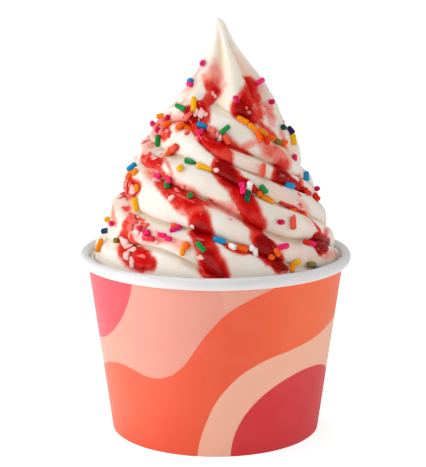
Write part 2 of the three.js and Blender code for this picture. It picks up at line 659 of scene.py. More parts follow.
MOTTLED_TONE = MottledTone()
FINE_GRAIN = FineGrain()
SAUCE_TONE = SauceTone()


# --- Finishes ---


@dataclass(frozen=True)
class Relief:
    """A fine relief: waves to a metre, broad and fine, the fine ones' share, and the depth."""

    broad: float
    fine: float
    share: float
    depth: float
    strength: float = 0.6

    def apply(self, graph: Graph, shader: Node) -> None:
        """Bump a material's surface.

        Args:
            graph: The material's graph.
            shader: Its shader.
        """
        height = FINE_GRAIN.place(graph, Broad=self.broad, Fine=self.fine, Share=self.share)
        bump = graph.node("ShaderNodeBump")
        graph.feed(bump.inputs["Strength"], self.strength)
        graph.feed(bump.inputs["Distance"], self.depth)
        graph.feed(bump.inputs["Height"], height)
        graph.feed(shader.inputs["Normal"], bump.outputs[0])


@dataclass(frozen=True)
class Finish:
    """A surface finish. Each kind says how its colour is made.

    The values given here are the shader's own, for a finish that leaves them as they are.
    """

    name: str
    roughness: float = 0.5
    specular: float = 0.5
    coat: float = 0.0
    coat_roughness: float = 0.03
    subsurface: float = 0.0
    subsurface_radius: Triple = (1.0, 0.2, 0.1)
    subsurface_scale: float = 0.05
    mottle_scale: float = 60.0
    mottle_amount: float = 0.5
    relief: Relief | None = None

    def material(self) -> bpy.types.Material:
        """Give the finish's material, made on first use.

        Returns:
            The material.
        """
        label = f"{self.name}_finish"
        made = bpy.data.materials.get(label)
        if made is None:
            made = bpy.data.materials.new(label)
            made.use_nodes = True
            graph = Graph(made.node_tree)
            shader = made.node_tree.nodes["Principled BSDF"]
            plain = {
                "Roughness": self.roughness,
                "Specular IOR Level": self.specular,
                "Coat Weight": self.coat,
                "Coat Roughness": self.coat_roughness,
                "Subsurface Weight": self.subsurface,
                "Subsurface Radius": self.subsurface_radius,
                "Subsurface Scale": self.subsurface_scale,
            }
            for socket, value in plain.items():
                shader.inputs[socket].default_value = value
            self.dress(graph, shader)
            if self.relief is not None:
                self.relief.apply(graph, shader)
        return made

    def dress(self, graph: Graph, shader: Node) -> None:
        """Wire the finish's own nodes to its shader."""
        raise NotImplementedError

    def mottled(self, graph: Graph, tone: Source, other: Source) -> Socket:
        """Make a tone uneven as the finish says.

        Args:
            graph: The material's graph.
            tone: The tone.
            other: The tone that its patches turn towards.

        Returns:
            The socket of the uneven tone.
        """
        scale, amount = self.mottle_scale, self.mottle_amount
        return MOTTLED_TONE.place(graph, Tone=tone, Other=other, Scale=scale, Amount=amount)


@dataclass(frozen=True)
class FloorFinish(Finish):
    """The studio's plain pale floor, a light table that glows more on its left."""

    name: str = "pale_floor"
    roughness: float = 0.7
    pale: Rgba = colour(246, 246, 246)
    glow: float = 0.28
    left_glow: float = 0.95
    left_edge: Range = (-0.025, -0.055)
    seen_glow: float = 0.70

    def dress(self, graph: Graph, shader: Node) -> None:
        """Colour the floor evenly and let it glow a little, as a light table does.

        Args:
            graph: The material's graph.
            shader: Its shader.
        """
        shader.inputs["Base Color"].default_value = self.pale
        shader.inputs["Emission Color"].default_value = WHITE
        leftness = graph.ramp(graph.object_axes()[0], *self.left_edge)
        glow = graph.linear(leftness, self.left_glow - self.glow, self.glow)
        brighter = graph.math("SUBTRACT", self.seen_glow, glow)
        strength = graph.linear(graph.camera_ray(), brighter, glow)
        graph.feed(shader.inputs["Emission Strength"], strength)


@dataclass(frozen=True)
class YogurtFinish(Finish):
    """Soft-serve: cream white, slightly see-through, moist, red where sauce has run over it, with
    painted shade in its creases.
    """

    name: str = "frozen_yogurt"
    roughness: float = 0.42
    specular: float = 0.08
    coat: float = 0.10
    coat_roughness: float = 0.12
    subsurface: float = 0.50
    subsurface_radius: Triple = (1.0, 0.66, 0.42)
    subsurface_scale: float = 0.006
    mottle_scale: float = 45.0
    mottle_amount: float = 0.7
    relief: Relief = Relief(260.0, 1500.0, 0.25, 0.0003, 0.45)
    cream: Rgba = colour(241, 233, 223)
    shade: Rgba = colour(239, 227, 211)
    # The hollow tone is painted shade: a warm tan mixed into the cream by the hollowness, in the
    # creases between the ribs and on the skirt by the wall, where shade falls.
    hollow: Rgba = colour(246, 220, 180)
    painted_shade_range: Range = (0.35, 1.0)
    painted_shade_share: float = 0.55
    glossy_range: Range = (0.1, 0.7)
    smoother: float = 0.18
    more_coat: float = 0.12

    def dress(self, graph: Graph, shader: Node) -> None:
        """Wire cream, painted shade in the hollows, and sauce, glossier where it is wet.

        Args:
            graph: The material's graph.
            shader: Its shader.
        """
        base = self.mottled(graph, self.cream, self.shade)
        # Painted shade: creases and hollows take on the tan hollow tone.
        hollows = graph.ramp(graph.attribute("hollow"), *self.painted_shade_range)
        base = graph.mix(graph.math("MULTIPLY", hollows, self.painted_shade_share), base, self.hollow)
        wet = graph.attribute("wet")
        graph.feed(shader.inputs["Base Color"], SAUCE_TONE.place(graph, Tone=base, Wet=wet))
        glossy = graph.ramp(wet, *self.glossy_range)
        roughness = graph.linear(glossy, -self.smoother, self.roughness)
        graph.feed(shader.inputs["Roughness"], roughness)
        graph.feed(shader.inputs["Coat Weight"], graph.linear(glossy, self.more_coat, self.coat))


@dataclass(frozen=True)
class SauceFinish(Finish):
    """Strawberry sauce where it stands proud of the yogurt: wet and deep red."""

    name: str = "strawberry_sauce"
    roughness: float = 0.2
    specular: float = 0.02
    coat: float = 0.30
    coat_roughness: float = 0.06
    subsurface: float = 0.12
    subsurface_radius: Triple = (1.0, 0.12, 0.08)
    subsurface_scale: float = 0.002
    relief: Relief = Relief(360.0, 1300.0, 0.2, 0.0003, 0.4)
    pale: Rgba = colour(240, 200, 186)

    def dress(self, graph: Graph, shader: Node) -> None:
        """Colour the sauce by its depth."""
        tone = SAUCE_TONE.place(graph, Tone=self.pale, Wet=graph.attribute("wet"))
        graph.feed(shader.inputs["Base Color"], tone)


@dataclass(frozen=True)
class PulpFinish(Finish):
    """Pieces of strawberry, pale or ripe, and wet."""

    name: str = "strawberry_pulp"
    roughness: float = 0.25
    specular: float = 0.1
    coat: float = 0.3
    coat_roughness: float = 0.1
    subsurface: float = 0.2
    subsurface_scale: float = 0.001
    mottle_scale: float = 520.0
    relief: Relief = Relief(700.0, 2200.0, 0.4, 0.0004)
    # The pale tone is real pale pulp, and on a few pieces also a painted highlight on the sauce.
    flesh_and_painted_highlight: Rgba = colour(255, 212, 206)
    pink: Rgba = colour(252, 116, 104)
    ripe: Rgba = colour(234, 48, 26)
    turns_pink: Range = (0.15, 0.55)
    turns_ripe: Range = (0.5, 0.95)

    def dress(self, graph: Graph, shader: Node) -> None:
        """Run from pale pulp to ripe red, mottled within each piece; the palest tone is also a
        painted highlight on a few pieces.

        Args:
            graph: The material's graph.
            shader: Its shader.
        """
        ripe = graph.attribute("ripe")
        base = graph.mix(graph.ramp(ripe, *self.turns_pink), self.flesh_and_painted_highlight, self.pink)
        base = graph.mix(graph.ramp(ripe, *self.turns_ripe), base, self.ripe)
        graph.feed(shader.inputs["Base Color"], self.mottled(graph, base, self.pink))


@dataclass(frozen=True)
class SugarFinish(Finish):
    """Pressed sugar in one colour: waxy, with a slightly uneven tone."""

    name: str = "sugar"
    roughness: float = 0.36
    specular: float = 0.12
    coat: float = 0.12
    coat_roughness: float = 0.16
    mottle_scale: float = 500.0
    mottle_amount: float = 0.6
    relief: Relief = Relief(900.0, 3200.0, 0.4, 0.00012)
    tone: Rgba = WHITE
    darkening: float = 0.94

    def dress(self, graph: Graph, shader: Node) -> None:
        """Mottle the tone a little."""
        darker = tuple(part * self.darkening for part in self.tone[:3]) + (1.0,)
        graph.feed(shader.inputs["Base Color"], self.mottled(graph, self.tone, darker))


@dataclass(frozen=True)
class WhitePaper(Finish):
    """Coated white paper, very slightly uneven, with the fibre in its relief."""

    name: str = "white_paper"
    roughness: float = 0.42
    coat: float = 0.12
    coat_roughness: float = 0.25
    subsurface: float = 0.5
    subsurface_radius: Triple = (1.0, 0.95, 0.88)
    subsurface_scale: float = 0.003
    mottle_scale: float = 70.0
    mottle_amount: float = 0.8
    relief: Relief = Relief(500.0, 2600.0, 0.5, 0.00006)
    white: Rgba = colour(236, 236, 237)
    warmer: Rgba = colour(231, 230, 229)

    def dress(self, graph: Graph, shader: Node) -> None:
        """Make the white slightly uneven."""
        graph.feed(shader.inputs["Base Color"], self.mottled(graph, self.white, self.warmer))


@dataclass(frozen=True)
class Disc:
    """An oval field of colour in the print, on the unrolled wall.

    The angle is in degrees round the cup. The rest is in millimetres, with the radius of the wall
    where the disc is.
    """

    angle: float
    height: float
    half_width: float
    half_height: float
    radius: float
    tone: Rgba

    def distance(self, graph: Graph, angle: Socket, height: Socket) -> Socket:
        """Work out how far a place is from the disc's middle, 1 being its edge.

        Args:
            graph: The material's graph.
            angle: The place's angle.
            height: The place's height.

        Returns:
            The socket of the distance.
        """
        scale = math.radians(1.0) * self.radius / self.half_width
        sideways = graph.math("MULTIPLY", graph.math("SUBTRACT", angle, self.angle), scale)
        upwards = graph.math("SUBTRACT", height, self.height)
        upwards = graph.math("DIVIDE", upwards, self.half_height)
        squares = (graph.math("MULTIPLY", part, part) for part in (sideways, upwards))
        return graph.math("SQRT", graph.math("ADD", *squares))


@dataclass(frozen=True)
class PrintedPaper(Finish):
    """Coated paper printed with large soft waves and discs of colour, with painted light on the
    coral band's right side.

    Angles are degrees round the cup from the side seam behind, -270, over the front, -90, back to
    the seam, 90. Heights are millimetres above the foot.
    """

    name: str = "printed_paper"
    roughness: float = 0.52
    coat: float = 0.04
    coat_roughness: float = 0.3
    mottle_scale: float = 90.0
    mottle_amount: float = 0.012
    relief: Relief = Relief(400.0, 2600.0, 0.5, 0.00006)
    seam: float = -270.0
    salmon: Rgba = colour(234, 152, 133)
    upper_peach: Rgba = colour(232, 160, 136)
    peach: Rgba = colour(243, 182, 154)
    coral: Rgba = colour(238, 84, 42)
    # The lighter coral below is painted light: the band turns lighter and more orange towards the
    # right, across the angles given next, where the fill light falls.
    painted_light_coral: Rgba = colour(246, 104, 44)
    warmer: Range = (-84.0, -34.0)
    band_top: Pairs = (
        (-270, 9), (-245, 14), (-222, 22), (-195, 22), (-170, 25.2), (-154, 29.4), (-141, 30.8),
        (-133, 30.1), (-126, 28.8), (-120, 28.5), (-113, 29.9), (-107.5, 32.6), (-103, 36.4),
        (-95, 45.6), (-90, 50.2), (-85.5, 54), (-79, 57.4), (-68, 61.5), (-50, 66), (-20, 72),
        (20, 72), (48, 63), (70, 52), (90, 45),
    )
    band_foot: Pairs = (
        (-270, -11), (-110, -11), (-102, -5), (-98, 6.2), (-94.2, 14), (-90, 20.8), (-85, 25.9),
        (-78, 31.1), (-72, 33.9), (-64.5, 36.3), (-53.7, 38.1), (-42, 39.8), (-32, 41.4),
        (-20, 43.4), (-6, 44.4), (12, 42), (32, 34), (50, 20), (66, 5), (78, -8), (90, -11),
    )
    split_angle: float = -88.6
    split_height: float = 63.1
    split_lean: float = 0.33
    discs: tuple[Disc, ...] = (
        Disc(-171.6, 71.2, 34.8, 34.8, 44.5, colour(238, 62, 78)),
        Disc(-38.0, 0.0, 31.5, 29.5, 41.0, colour(213, 24, 36)),
        Disc(-236.0, 40.0, 17.0, 15.0, 43.0, colour(213, 24, 36)),
        Disc(62.0, 72.0, 24.0, 26.0, 44.0, colour(238, 62, 78)),
    )
    lowest: float = -12.0
    span: float = 90.0
    blur: float = 0.12
    disc_blur: float = 0.004

    def angle_and_height(self, graph: Graph) -> tuple[Socket, Socket]:
        """Unroll the wall.

        Args:
            graph: The material's graph.

        Returns:
            The sockets of the angle round the cup and the height above its foot.
        """
        across, depth, up = graph.object_axes()
        height = graph.math("MULTIPLY", up, 1 / MM)
        turn = graph.math("ARCTAN2", depth, across)
        past_seam = graph.math("GREATER_THAN", turn, math.pi / 2)
        turn = graph.linear(past_seam, -2 * math.pi, turn)
        return graph.math("MULTIPLY", turn, HALF_TURN / math.pi), height

    def curve(self, graph: Graph, turn: Socket, pairs: Pairs) -> Socket:
        """Read an edge of a band.

        Args:
            graph: The material's graph.
            turn: Place round the cup, 0 to 1.
            pairs: Angle and height pairs along the edge.

        Returns:
            The socket of the edge's height.
        """
        made = graph.node("ShaderNodeFloatCurve")
        line = made.mapping.curves[0]
        spots = [
            ((angle - self.seam) / FULL_TURN, (height - self.lowest) / self.span)
            for angle, height in pairs
        ]
        line.points[0].location = spots[0]
        line.points[-1].location = spots[-1]
        for spot in spots[1:-1]:
            line.points.new(*spot)
        made.mapping.update()
        graph.feed(made.inputs["Value"], turn)
        return graph.linear(made.outputs[0], self.span, self.lowest)

    def dress(self, graph: Graph, shader: Node) -> None:
        """Lay the fields of colour over one another, lowest first.

        Args:
            graph: The material's graph.
            shader: Its shader.
        """
        angle, height = self.angle_and_height(graph)
        turn = graph.linear(angle, 1 / FULL_TURN, -self.seam / FULL_TURN)
        slant = graph.math("SUBTRACT", self.split_height, height)
        slant = graph.linear(slant, self.split_lean, self.split_angle)
        past_split = graph.ramp(graph.math("SUBTRACT", angle, slant), -self.blur, self.blur)
        base = graph.mix(past_split, self.salmon, self.upper_peach)
        over_foot = graph.math("SUBTRACT", height, self.curve(graph, turn, self.band_foot))
        under_top = graph.math("SUBTRACT", self.curve(graph, turn, self.band_top), height)
        # Painted light: the coral lightens towards the right, where the fill light falls.
        coral = graph.mix(graph.ramp(angle, *self.warmer), self.coral, self.painted_light_coral)
        base = graph.mix(graph.ramp(under_top, -self.blur, self.blur), base, coral)
        base = graph.mix(graph.ramp(over_foot, self.blur, -self.blur), base, self.peach)
        for disc in self.discs:
            away = disc.distance(graph, angle, height)
            inside = graph.ramp(away, 1.0 + self.disc_blur, 1.0 - self.disc_blur)
            base = graph.mix(inside, base, disc.tone)
        graph.feed(shader.inputs["Base Color"], self.mottled(graph, base, WHITE))


# --- The cup ---


@dataclass
class PaperCup:
    """The tapered cup: printed outside, white inside, with a rolled rim and a folded foot.

    Lengths are in millimetres and angles in degrees.
    """

    rim_diameter: float = 100.0
    rim_height: float = 65.25
    curl_half_width: float = 1.65
    curl_half_height: float = 2.15
    curl_start: float = 175.0
    curl_end: float = -120.0
    curl_back: float = 172.0
    foot_diameter: float = 77.1
    radius_under_curl: float = 47.1
    sheet: float = 0.6
    fold_height: float = 6.0
    fold_inset: float = 1.8
    fold_edge: Range = (0.2, 0.3)
    foot_edge: float = 0.25
    first_row: float = 2.0
    row_height: float = 6.0
    rows: int = 10
    segments: int = 240
    curl_steps: int = 22
    seam_width: float = 9.0
    seam_lead: float = 2.5
    seam_trail: float = 0.6
    seam_rise: float = 0.28
    seam_angle: float = 90.0
    seam_fade: Range = (60.0, 63.0)
    top_reach: float = 0.01
    outer_reach: float = 0.3
    printed_reach: float = 0.35
    printed_facing: float = 0.5
    weld_reach: float = 1e-6
    sharp_angle: float = 50.0

    @property
    def wall_top(self) -> float:
        """Give the height where the wall meets the curl."""
        return self.rim_height - self.curl_half_height

    def wall_radius(self, height: float) -> float:
        """Give the radius of the wall's outer face at a height."""
        share = height / self.wall_top
        return self.foot_diameter / 2 + (self.radius_under_curl - self.foot_diameter / 2) * share

    def oval(self, shrink: float, start: float, end: float) -> list[tuple[float, float]]:
        """Give the points of the curl's section.

        Args:
            shrink: How far inside the outer face, in millimetres.
            start: Angle of the first point, in degrees.
            end: Angle of the last point.

        Returns:
            Pairs of radius and height.
        """
        middle = self.rim_diameter / 2 - self.curl_half_width
        made = []
        for i in range(self.curl_steps + 1):
            turn = math.radians(start + (end - start) * i / self.curl_steps)
            radius = middle + (self.curl_half_width - shrink) * math.cos(turn)
            height = self.rim_height + (self.curl_half_height - shrink) * math.sin(turn)
            made.append((radius, height))
        return made

    def section(self) -> list[tuple[float, float]]:
        """Give the wall's closed section, up the outside and down the inside.

        Returns:
            Pairs of radius and height.
        """
        inset, sheet = self.fold_inset, self.sheet
        edge_in, edge_up = self.fold_edge
        rows = [self.row_height * i for i in range(1, self.rows + 1)]
        heights = [self.foot_edge, self.first_row, *rows, self.wall_top]
        outside = [(self.wall_radius(h), h) for h in heights]
        inside = [(self.wall_radius(h) - sheet, h) for h in reversed(heights[1:-1])]
        foot = [
            (self.wall_radius(sheet) - sheet, sheet),
            (self.wall_radius(sheet) - inset, sheet),
            (self.wall_radius(self.fold_height) - inset, self.fold_height),
            (self.wall_radius(self.fold_height) - inset - sheet, self.fold_height),
            (self.wall_radius(edge_up) - inset - sheet, edge_up),
            (self.wall_radius(0) - inset - sheet + edge_in, 0.0),
            (self.wall_radius(0) - self.foot_edge, 0.0),
        ]
        up_curl = self.oval(sheet, self.curl_start, self.curl_end)
        down_curl = self.oval(0.0, self.curl_end, self.curl_back)
        return outside + up_curl + down_curl + inside + foot

    def build(self) -> Piece:
        """Spin the section, lay the side seam over itself and dress the faces.

        Returns:
            The wall, which stands for the solid of the same place.
        """
        clear_selection()
        section = [(r * MM, h * MM) for r, h in self.section()]
        bpy.ops.mesh.primitive_plane_add(size=MM, location=(0, 0, 0))
        wall = newest("cup_paper_wall")
        with editing(wall):
            bpy.ops.mesh.select_all(action="SELECT")
            bpy.ops.mesh.merge(type="CENTER")
            bpy.ops.mesh.select_all(action="SELECT")
            bpy.ops.transform.translate(value=(section[0][0], 0, section[0][1]))
            for (radius, height), (next_radius, next_height) in zip(section, section[1:]):
                step = (next_radius - radius, 0, next_height - height)
                bpy.ops.mesh.extrude_region_move(TRANSFORM_OT_translate={"value": step})
            bpy.ops.mesh.select_all(action="SELECT")
            turn = {"angle": 2 * math.pi, "center": (0, 0, 0), "axis": (0, 0, 1)}
            bpy.ops.mesh.spin(steps=self.segments, dupli=False, **turn)
            bpy.ops.mesh.select_all(action="SELECT")
            bpy.ops.mesh.remove_doubles(threshold=self.weld_reach)
        self.close_section(wall)
        self.raise_seam(wall)
        weld(wall, self.weld_reach)
        self.dress(wall)
        smooth_under(wall, self.sharp_angle)
        return wall

    def close_section(self, wall: Piece) -> None:
        """Bridge the spun section's first and last rings, under the foot.

        Args:
            wall: The wall.
        """
        with editing(wall):
            bpy.ops.mesh.select_all(action="DESELECT")
            bpy.ops.mesh.select_mode(type="EDGE")
            bpy.ops.mesh.select_non_manifold(extend=False)
            bpy.ops.mesh.bridge_edge_loops()
            bpy.ops.mesh.select_mode(type="VERT")

    def raise_seam(self, wall: Piece) -> None:
        """Raise a strip of the outer face behind, where the sheet laps over itself.

        Args:
            wall: The wall.
        """
        points = points_of(wall.data)
        radius = np.hypot(points[:, 0], points[:, 1])
        height = points[:, 2] / MM
        inwards = np.array([self.wall_radius(h) for h in height]) - radius / MM
        on_wall = (inwards < self.outer_reach) & (height < self.wall_top + self.top_reach)
        angle = np.degrees(np.arctan2(points[:, 1], points[:, 0]))
        along = np.radians(angle - self.seam_angle) * radius / MM
        lap = smoothstep(along, -self.seam_width, -self.seam_width + self.seam_lead)
        lap = lap * (along < self.seam_trail)
        rise = np.where(on_wall, lap * self.seam_rise, 0.0)
        rise *= 1.0 - smoothstep(height, *self.seam_fade)
        points[:, :2] *= (1.0 + rise * MM / radius)[:, None]
        set_points(wall.data, points)

    def dress(self, wall: Piece) -> None:
        """Print the outside and leave the rest white.

        Args:
            wall: The wall.
        """
        for finish in (WhitePaper(), PrintedPaper()):
            wall.data.materials.append(finish.material())
        for face in wall.data.polygons:
            centre, facing = face.center, face.normal
            radius = math.hypot(*centre.xy)
            outwards = centre.x * facing.x + centre.y * facing.y > self.printed_facing * radius
            outside = radius > (self.wall_radius(centre.z / MM) - self.printed_reach) * MM
            if outwards and outside and centre.z < self.wall_top * MM:
                face.material_index = 1


# --- The yogurt ---


@dataclass(frozen=True)
class RibEdge:
    """The upper edge of a rib over the front half, left to right.

    It starts at a height on the left, falls so far to the right, and swells at an angle.
    """

    left: float
    fall: float
    swell: float
    at: float


@dataclass
class SwirlShape:
    """The form of the piped yogurt. Lengths are in millimetres and angles in degrees."""

    fill_height: float = 61.5
    base: float = 63.5
    tip: float = 152.2
    turn_ribs: int = 6
    rib_depth: float = 5.8
    rib_width_limits: Range = (0.5, 1.1)
    valley: float = 0.82
    crest: float = 0.16
    edge_sink: float = 0.12
    belly_power: float = 2.0
    sag: float = 0.7
    sag_rises: Range = (0.25, 0.66)
    sag_falls: Range = (0.70, 0.86)
    tip_groove_share: float = 0.3
    tip_groove_fade: float = 26.0
    tip_groove_power: float = 1.7
    deep_enough: float = 1.6
    shallow_at: float = -175.0
    shallow_share: float = 0.6
    shallow_aside: Range = (18.0, 48.0)
    shallow_heights: Range = (80.0, 90.0)
    highest: int = -5
    lowest: int = 8
    ribs_below: int = 3
    spacing: float = 11.5
    swell_width: float = 24.0
    fall_power: float = 1.5
    back_steepness: float = 2.6
    twist_full: float = 113.0
    twist_ends: float = 130.0
    level_from: float = 121.0
    outline: Pairs = (
        (0, 152.2), (1.9, 150.4), (4.6, 143.5), (10.3, 134.6), (17.2, 126), (21, 119),
        (29.2, 106), (36.5, 90), (42.3, 76), (45, 67),
    )
    leaning: Pairs = ((0.3, 62), (0.8, 100), (3.5, 131), (1.1, 152.2))
    edges: tuple[RibEdge, ...] = (
        RibEdge(141.0, 30.5, 3.0, -45),
        RibEdge(131.1, 37.0, 3.9, -62),
        RibEdge(119.6, 30.0, 7.0, -135),
        RibEdge(114.9, 31.0, 5.7, -123),
        RibEdge(108.4, 34.3, 3.2, -97),
        RibEdge(101.1, 34.6, -4.7, -56),
        RibEdge(85.8, 30.5, 3.0, -92),
        RibEdge(72.3, 25.9, 6.6, -118),
    )
    tip_grooves: tuple[float, ...] = (-190, -98, -42, 15, 70, 120, 170, 262)
    first_tip_groove: int = 3
    samples: int = 12

    def __post_init__(self) -> None:
        """Sample the outline and the lean once."""
        self._outline = self._spline(self.outline)
        self._leaning = self._spline(self.leaning)

    def _spline(self, pairs: Pairs) -> Array:
        """Sample a smooth curve through pairs.

        Args:
            pairs: Value and height pairs.

        Returns:
            Rows of height and value, lowest first.
        """
        knots = np.array(pairs, dtype=float)
        count = len(knots) - 1
        rows = []
        for step in range(count * self.samples + 1):
            at = step / self.samples
            index = min(int(at), count - 1)
            share = at - index
            before, start, end, after = (
                knots[min(max(index + shift, 0), count)] for shift in (-1, 0, 1, 2)
            )
            slope_in, slope_out = (end - before) / 2, (after - start) / 2
            rows.append(
                (2 * start - 2 * end + slope_in + slope_out) * share**3
                + (-3 * start + 3 * end - 2 * slope_in - slope_out) * share**2
                + slope_in * share
                + start
            )
        table = np.array(rows)[:, ::-1]
        return table[np.argsort(table[:, 0])]

    def crest_radius(self, height: Array) -> Array:
        """Give the radius of the rib crests at each height."""
        return np.interp(height, self._outline[:, 0], self._outline[:, 1])

    def lean(self, height: Array) -> Array:
        """Give the sideways lean of the swirl's middle at each height."""
        return np.interp(height, self._leaning[:, 0], self._leaning[:, 1])

    def front_edge(self, rib: int, angle: Array) -> Array:
        """Give the height of a rib's upper edge on the front half.

        Args:
            rib: The rib's number. Past the listed ones they follow at an even spacing.
            angle: Angles, -180 on the left to 0 on the right.

        Returns:
            One height per angle.
        """
        listed = min(max(rib, 0), len(self.edges) - 1)
        edge = self.edges[listed]
        across = (angle + HALF_TURN) / HALF_TURN
        swelling = edge.swell * np.exp(-(((angle - edge.at) / self.swell_width) ** 2))
        fallen = edge.fall * across**self.fall_power
        return edge.left - fallen + swelling + self.spacing * (listed - rib)

    def edge(self, rib: int, angle: Array) -> Array:
        """Give the height of a rib's upper edge all the way round.

        Args:
            rib: The rib's number.
            angle: Angles, -180 to 180. Behind, the edge runs smoothly on to the next turn's.

        Returns:
            One height per angle.
        """
        start = float(self.front_edge(rib, np.array(0.0)))
        drop = start - float(self.front_edge(rib + self.turn_ribs, np.array(-HALF_TURN)))
        slope = (float(self.front_edge(rib, np.array(-1.0))) - start) * HALF_TURN
        steepness = min(slope, self.back_steepness * drop)
        t = np.clip(angle / HALF_TURN, 0.0, 1.0)
        behind = start - steepness * t * (1 - t) ** 2 - drop * t * t * (3 - 2 * t)
        return np.where(angle <= 0, self.front_edge(rib, np.minimum(angle, 0.0)), behind)

    def tip_phase(self, angle: Array) -> Array:
        """Give the place among the straight ribs of the tip.

        Args:
            angle: Angles round the swirl.

        Returns:
            One value per angle, which falls by 1 from each groove to the next.
        """
        grooves = np.array(self.tip_grooves, dtype=float)
        following = np.searchsorted(grooves, angle, side="right")
        start, end = grooves[following - 1], grooves[following]
        across = (angle - start) / (end - start)
        return self.first_tip_groove - (following - 1) - across - (1 - self.valley)

    def twisted_sink(self, u: Array) -> Array:
        """Give how far a twisted rib's surface lies below its crest.

        Args:
            u: Places down the rib, 0 at its upper edge to 1 at the next one's.

        Returns:
            The depths, as shares of the rib's depth.
        """
        above = self.edge_sink * (1 - np.clip(u / self.crest, 0, 1)) ** 2
        along = np.clip((u - self.crest) / (self.valley - self.crest), 0, 1)
        belly = 1 - np.sqrt(1 - along**self.belly_power)
        under = blend(1.0, self.edge_sink, (u - self.valley) / (1 - self.valley))
        return np.where(u < self.crest, above, np.where(u < self.valley, belly, under))

    def shallowness(self, angle: Array, height: Array) -> Array:
        """Give how much the ribs flatten low on one side, 0 to 1.

        Args:
            angle: Angles round the swirl.
            height: Heights.

        Returns:
            One value per place.
        """
        full, none = self.shallow_heights
        aside = np.abs((angle - self.shallow_at + HALF_TURN) % FULL_TURN - HALF_TURN)
        return smoothstep(-height, -none, -full) * (1.0 - smoothstep(aside, *self.shallow_aside))

    def relief(self, angle: Array, height: Array) -> tuple[Array, ...]:
        """Work out the ribs' relief.

        Args:
            angle: Angles round the swirl.
            height: Heights.

        Returns:
            The radius's fall below the crest outline, how far the belly sags, and how hollow the
            place is, from 0 on a crest to 1 in a valley.
        """
        ribs = range(self.highest - 1, self.lowest + self.ribs_below + 1)
        table = np.array([self.edge(rib, angle) for rib in ribs])
        index = np.clip((table[1:] > height).sum(axis=0), 0, len(table) - 2)
        columns = np.arange(len(angle))
        top, bottom = table[index, columns], table[index + 1, columns]
        u = np.clip((top - height) / (top - bottom), 0.0, 1.0)
        straight = smoothstep(height, self.twist_full, self.twist_ends)
        tip_sink = 0.5 + 0.5 * np.cos(2 * np.pi * (self.tip_phase(angle) - self.valley))
        tip_sink = tip_sink**self.tip_groove_power
        sink = blend(self.twisted_sink(u), tip_sink, straight)
        width = np.clip((top - bottom) / self.spacing, *self.rib_width_limits)
        depth = self.rib_depth * blend(width, 1.0, straight)
        depth = depth * smoothstep(self.tip - height, 0, self.tip_groove_fade)
        depth = np.minimum(depth, self.tip_groove_share * self.crest_radius(height))
        depth = depth * smoothstep(height, self.fill_height, self.fill_height + self.spacing)
        depth = depth * (1.0 - self.shallow_share * self.shallowness(angle, height))
        hump = smoothstep(u, *self.sag_rises) * (1 - smoothstep(u, *self.sag_falls))
        sagging = self.sag * hump * (1 - straight) * depth / self.rib_depth
        return depth * sink, sagging, sink * np.clip(depth / self.deep_enough, 0.0, 1.0)

    def surface(self, angle: Array, height: Array) -> tuple[Array, Array]:
        """Find points of the swirl.

        Args:
            angle: Angles round the swirl.
            height: Heights before the bellies sag.

        Returns:
            Rows of x, y and z, and how hollow each place is.
        """
        fall, sagging, hollow = self.relief(angle, height)
        radius = self.crest_radius(height) - fall
        turn = np.radians(angle)
        x = radius * np.cos(turn) + self.lean(height)
        y = radius * np.sin(turn)
        return np.stack([x, y, height - sagging], axis=1), hollow


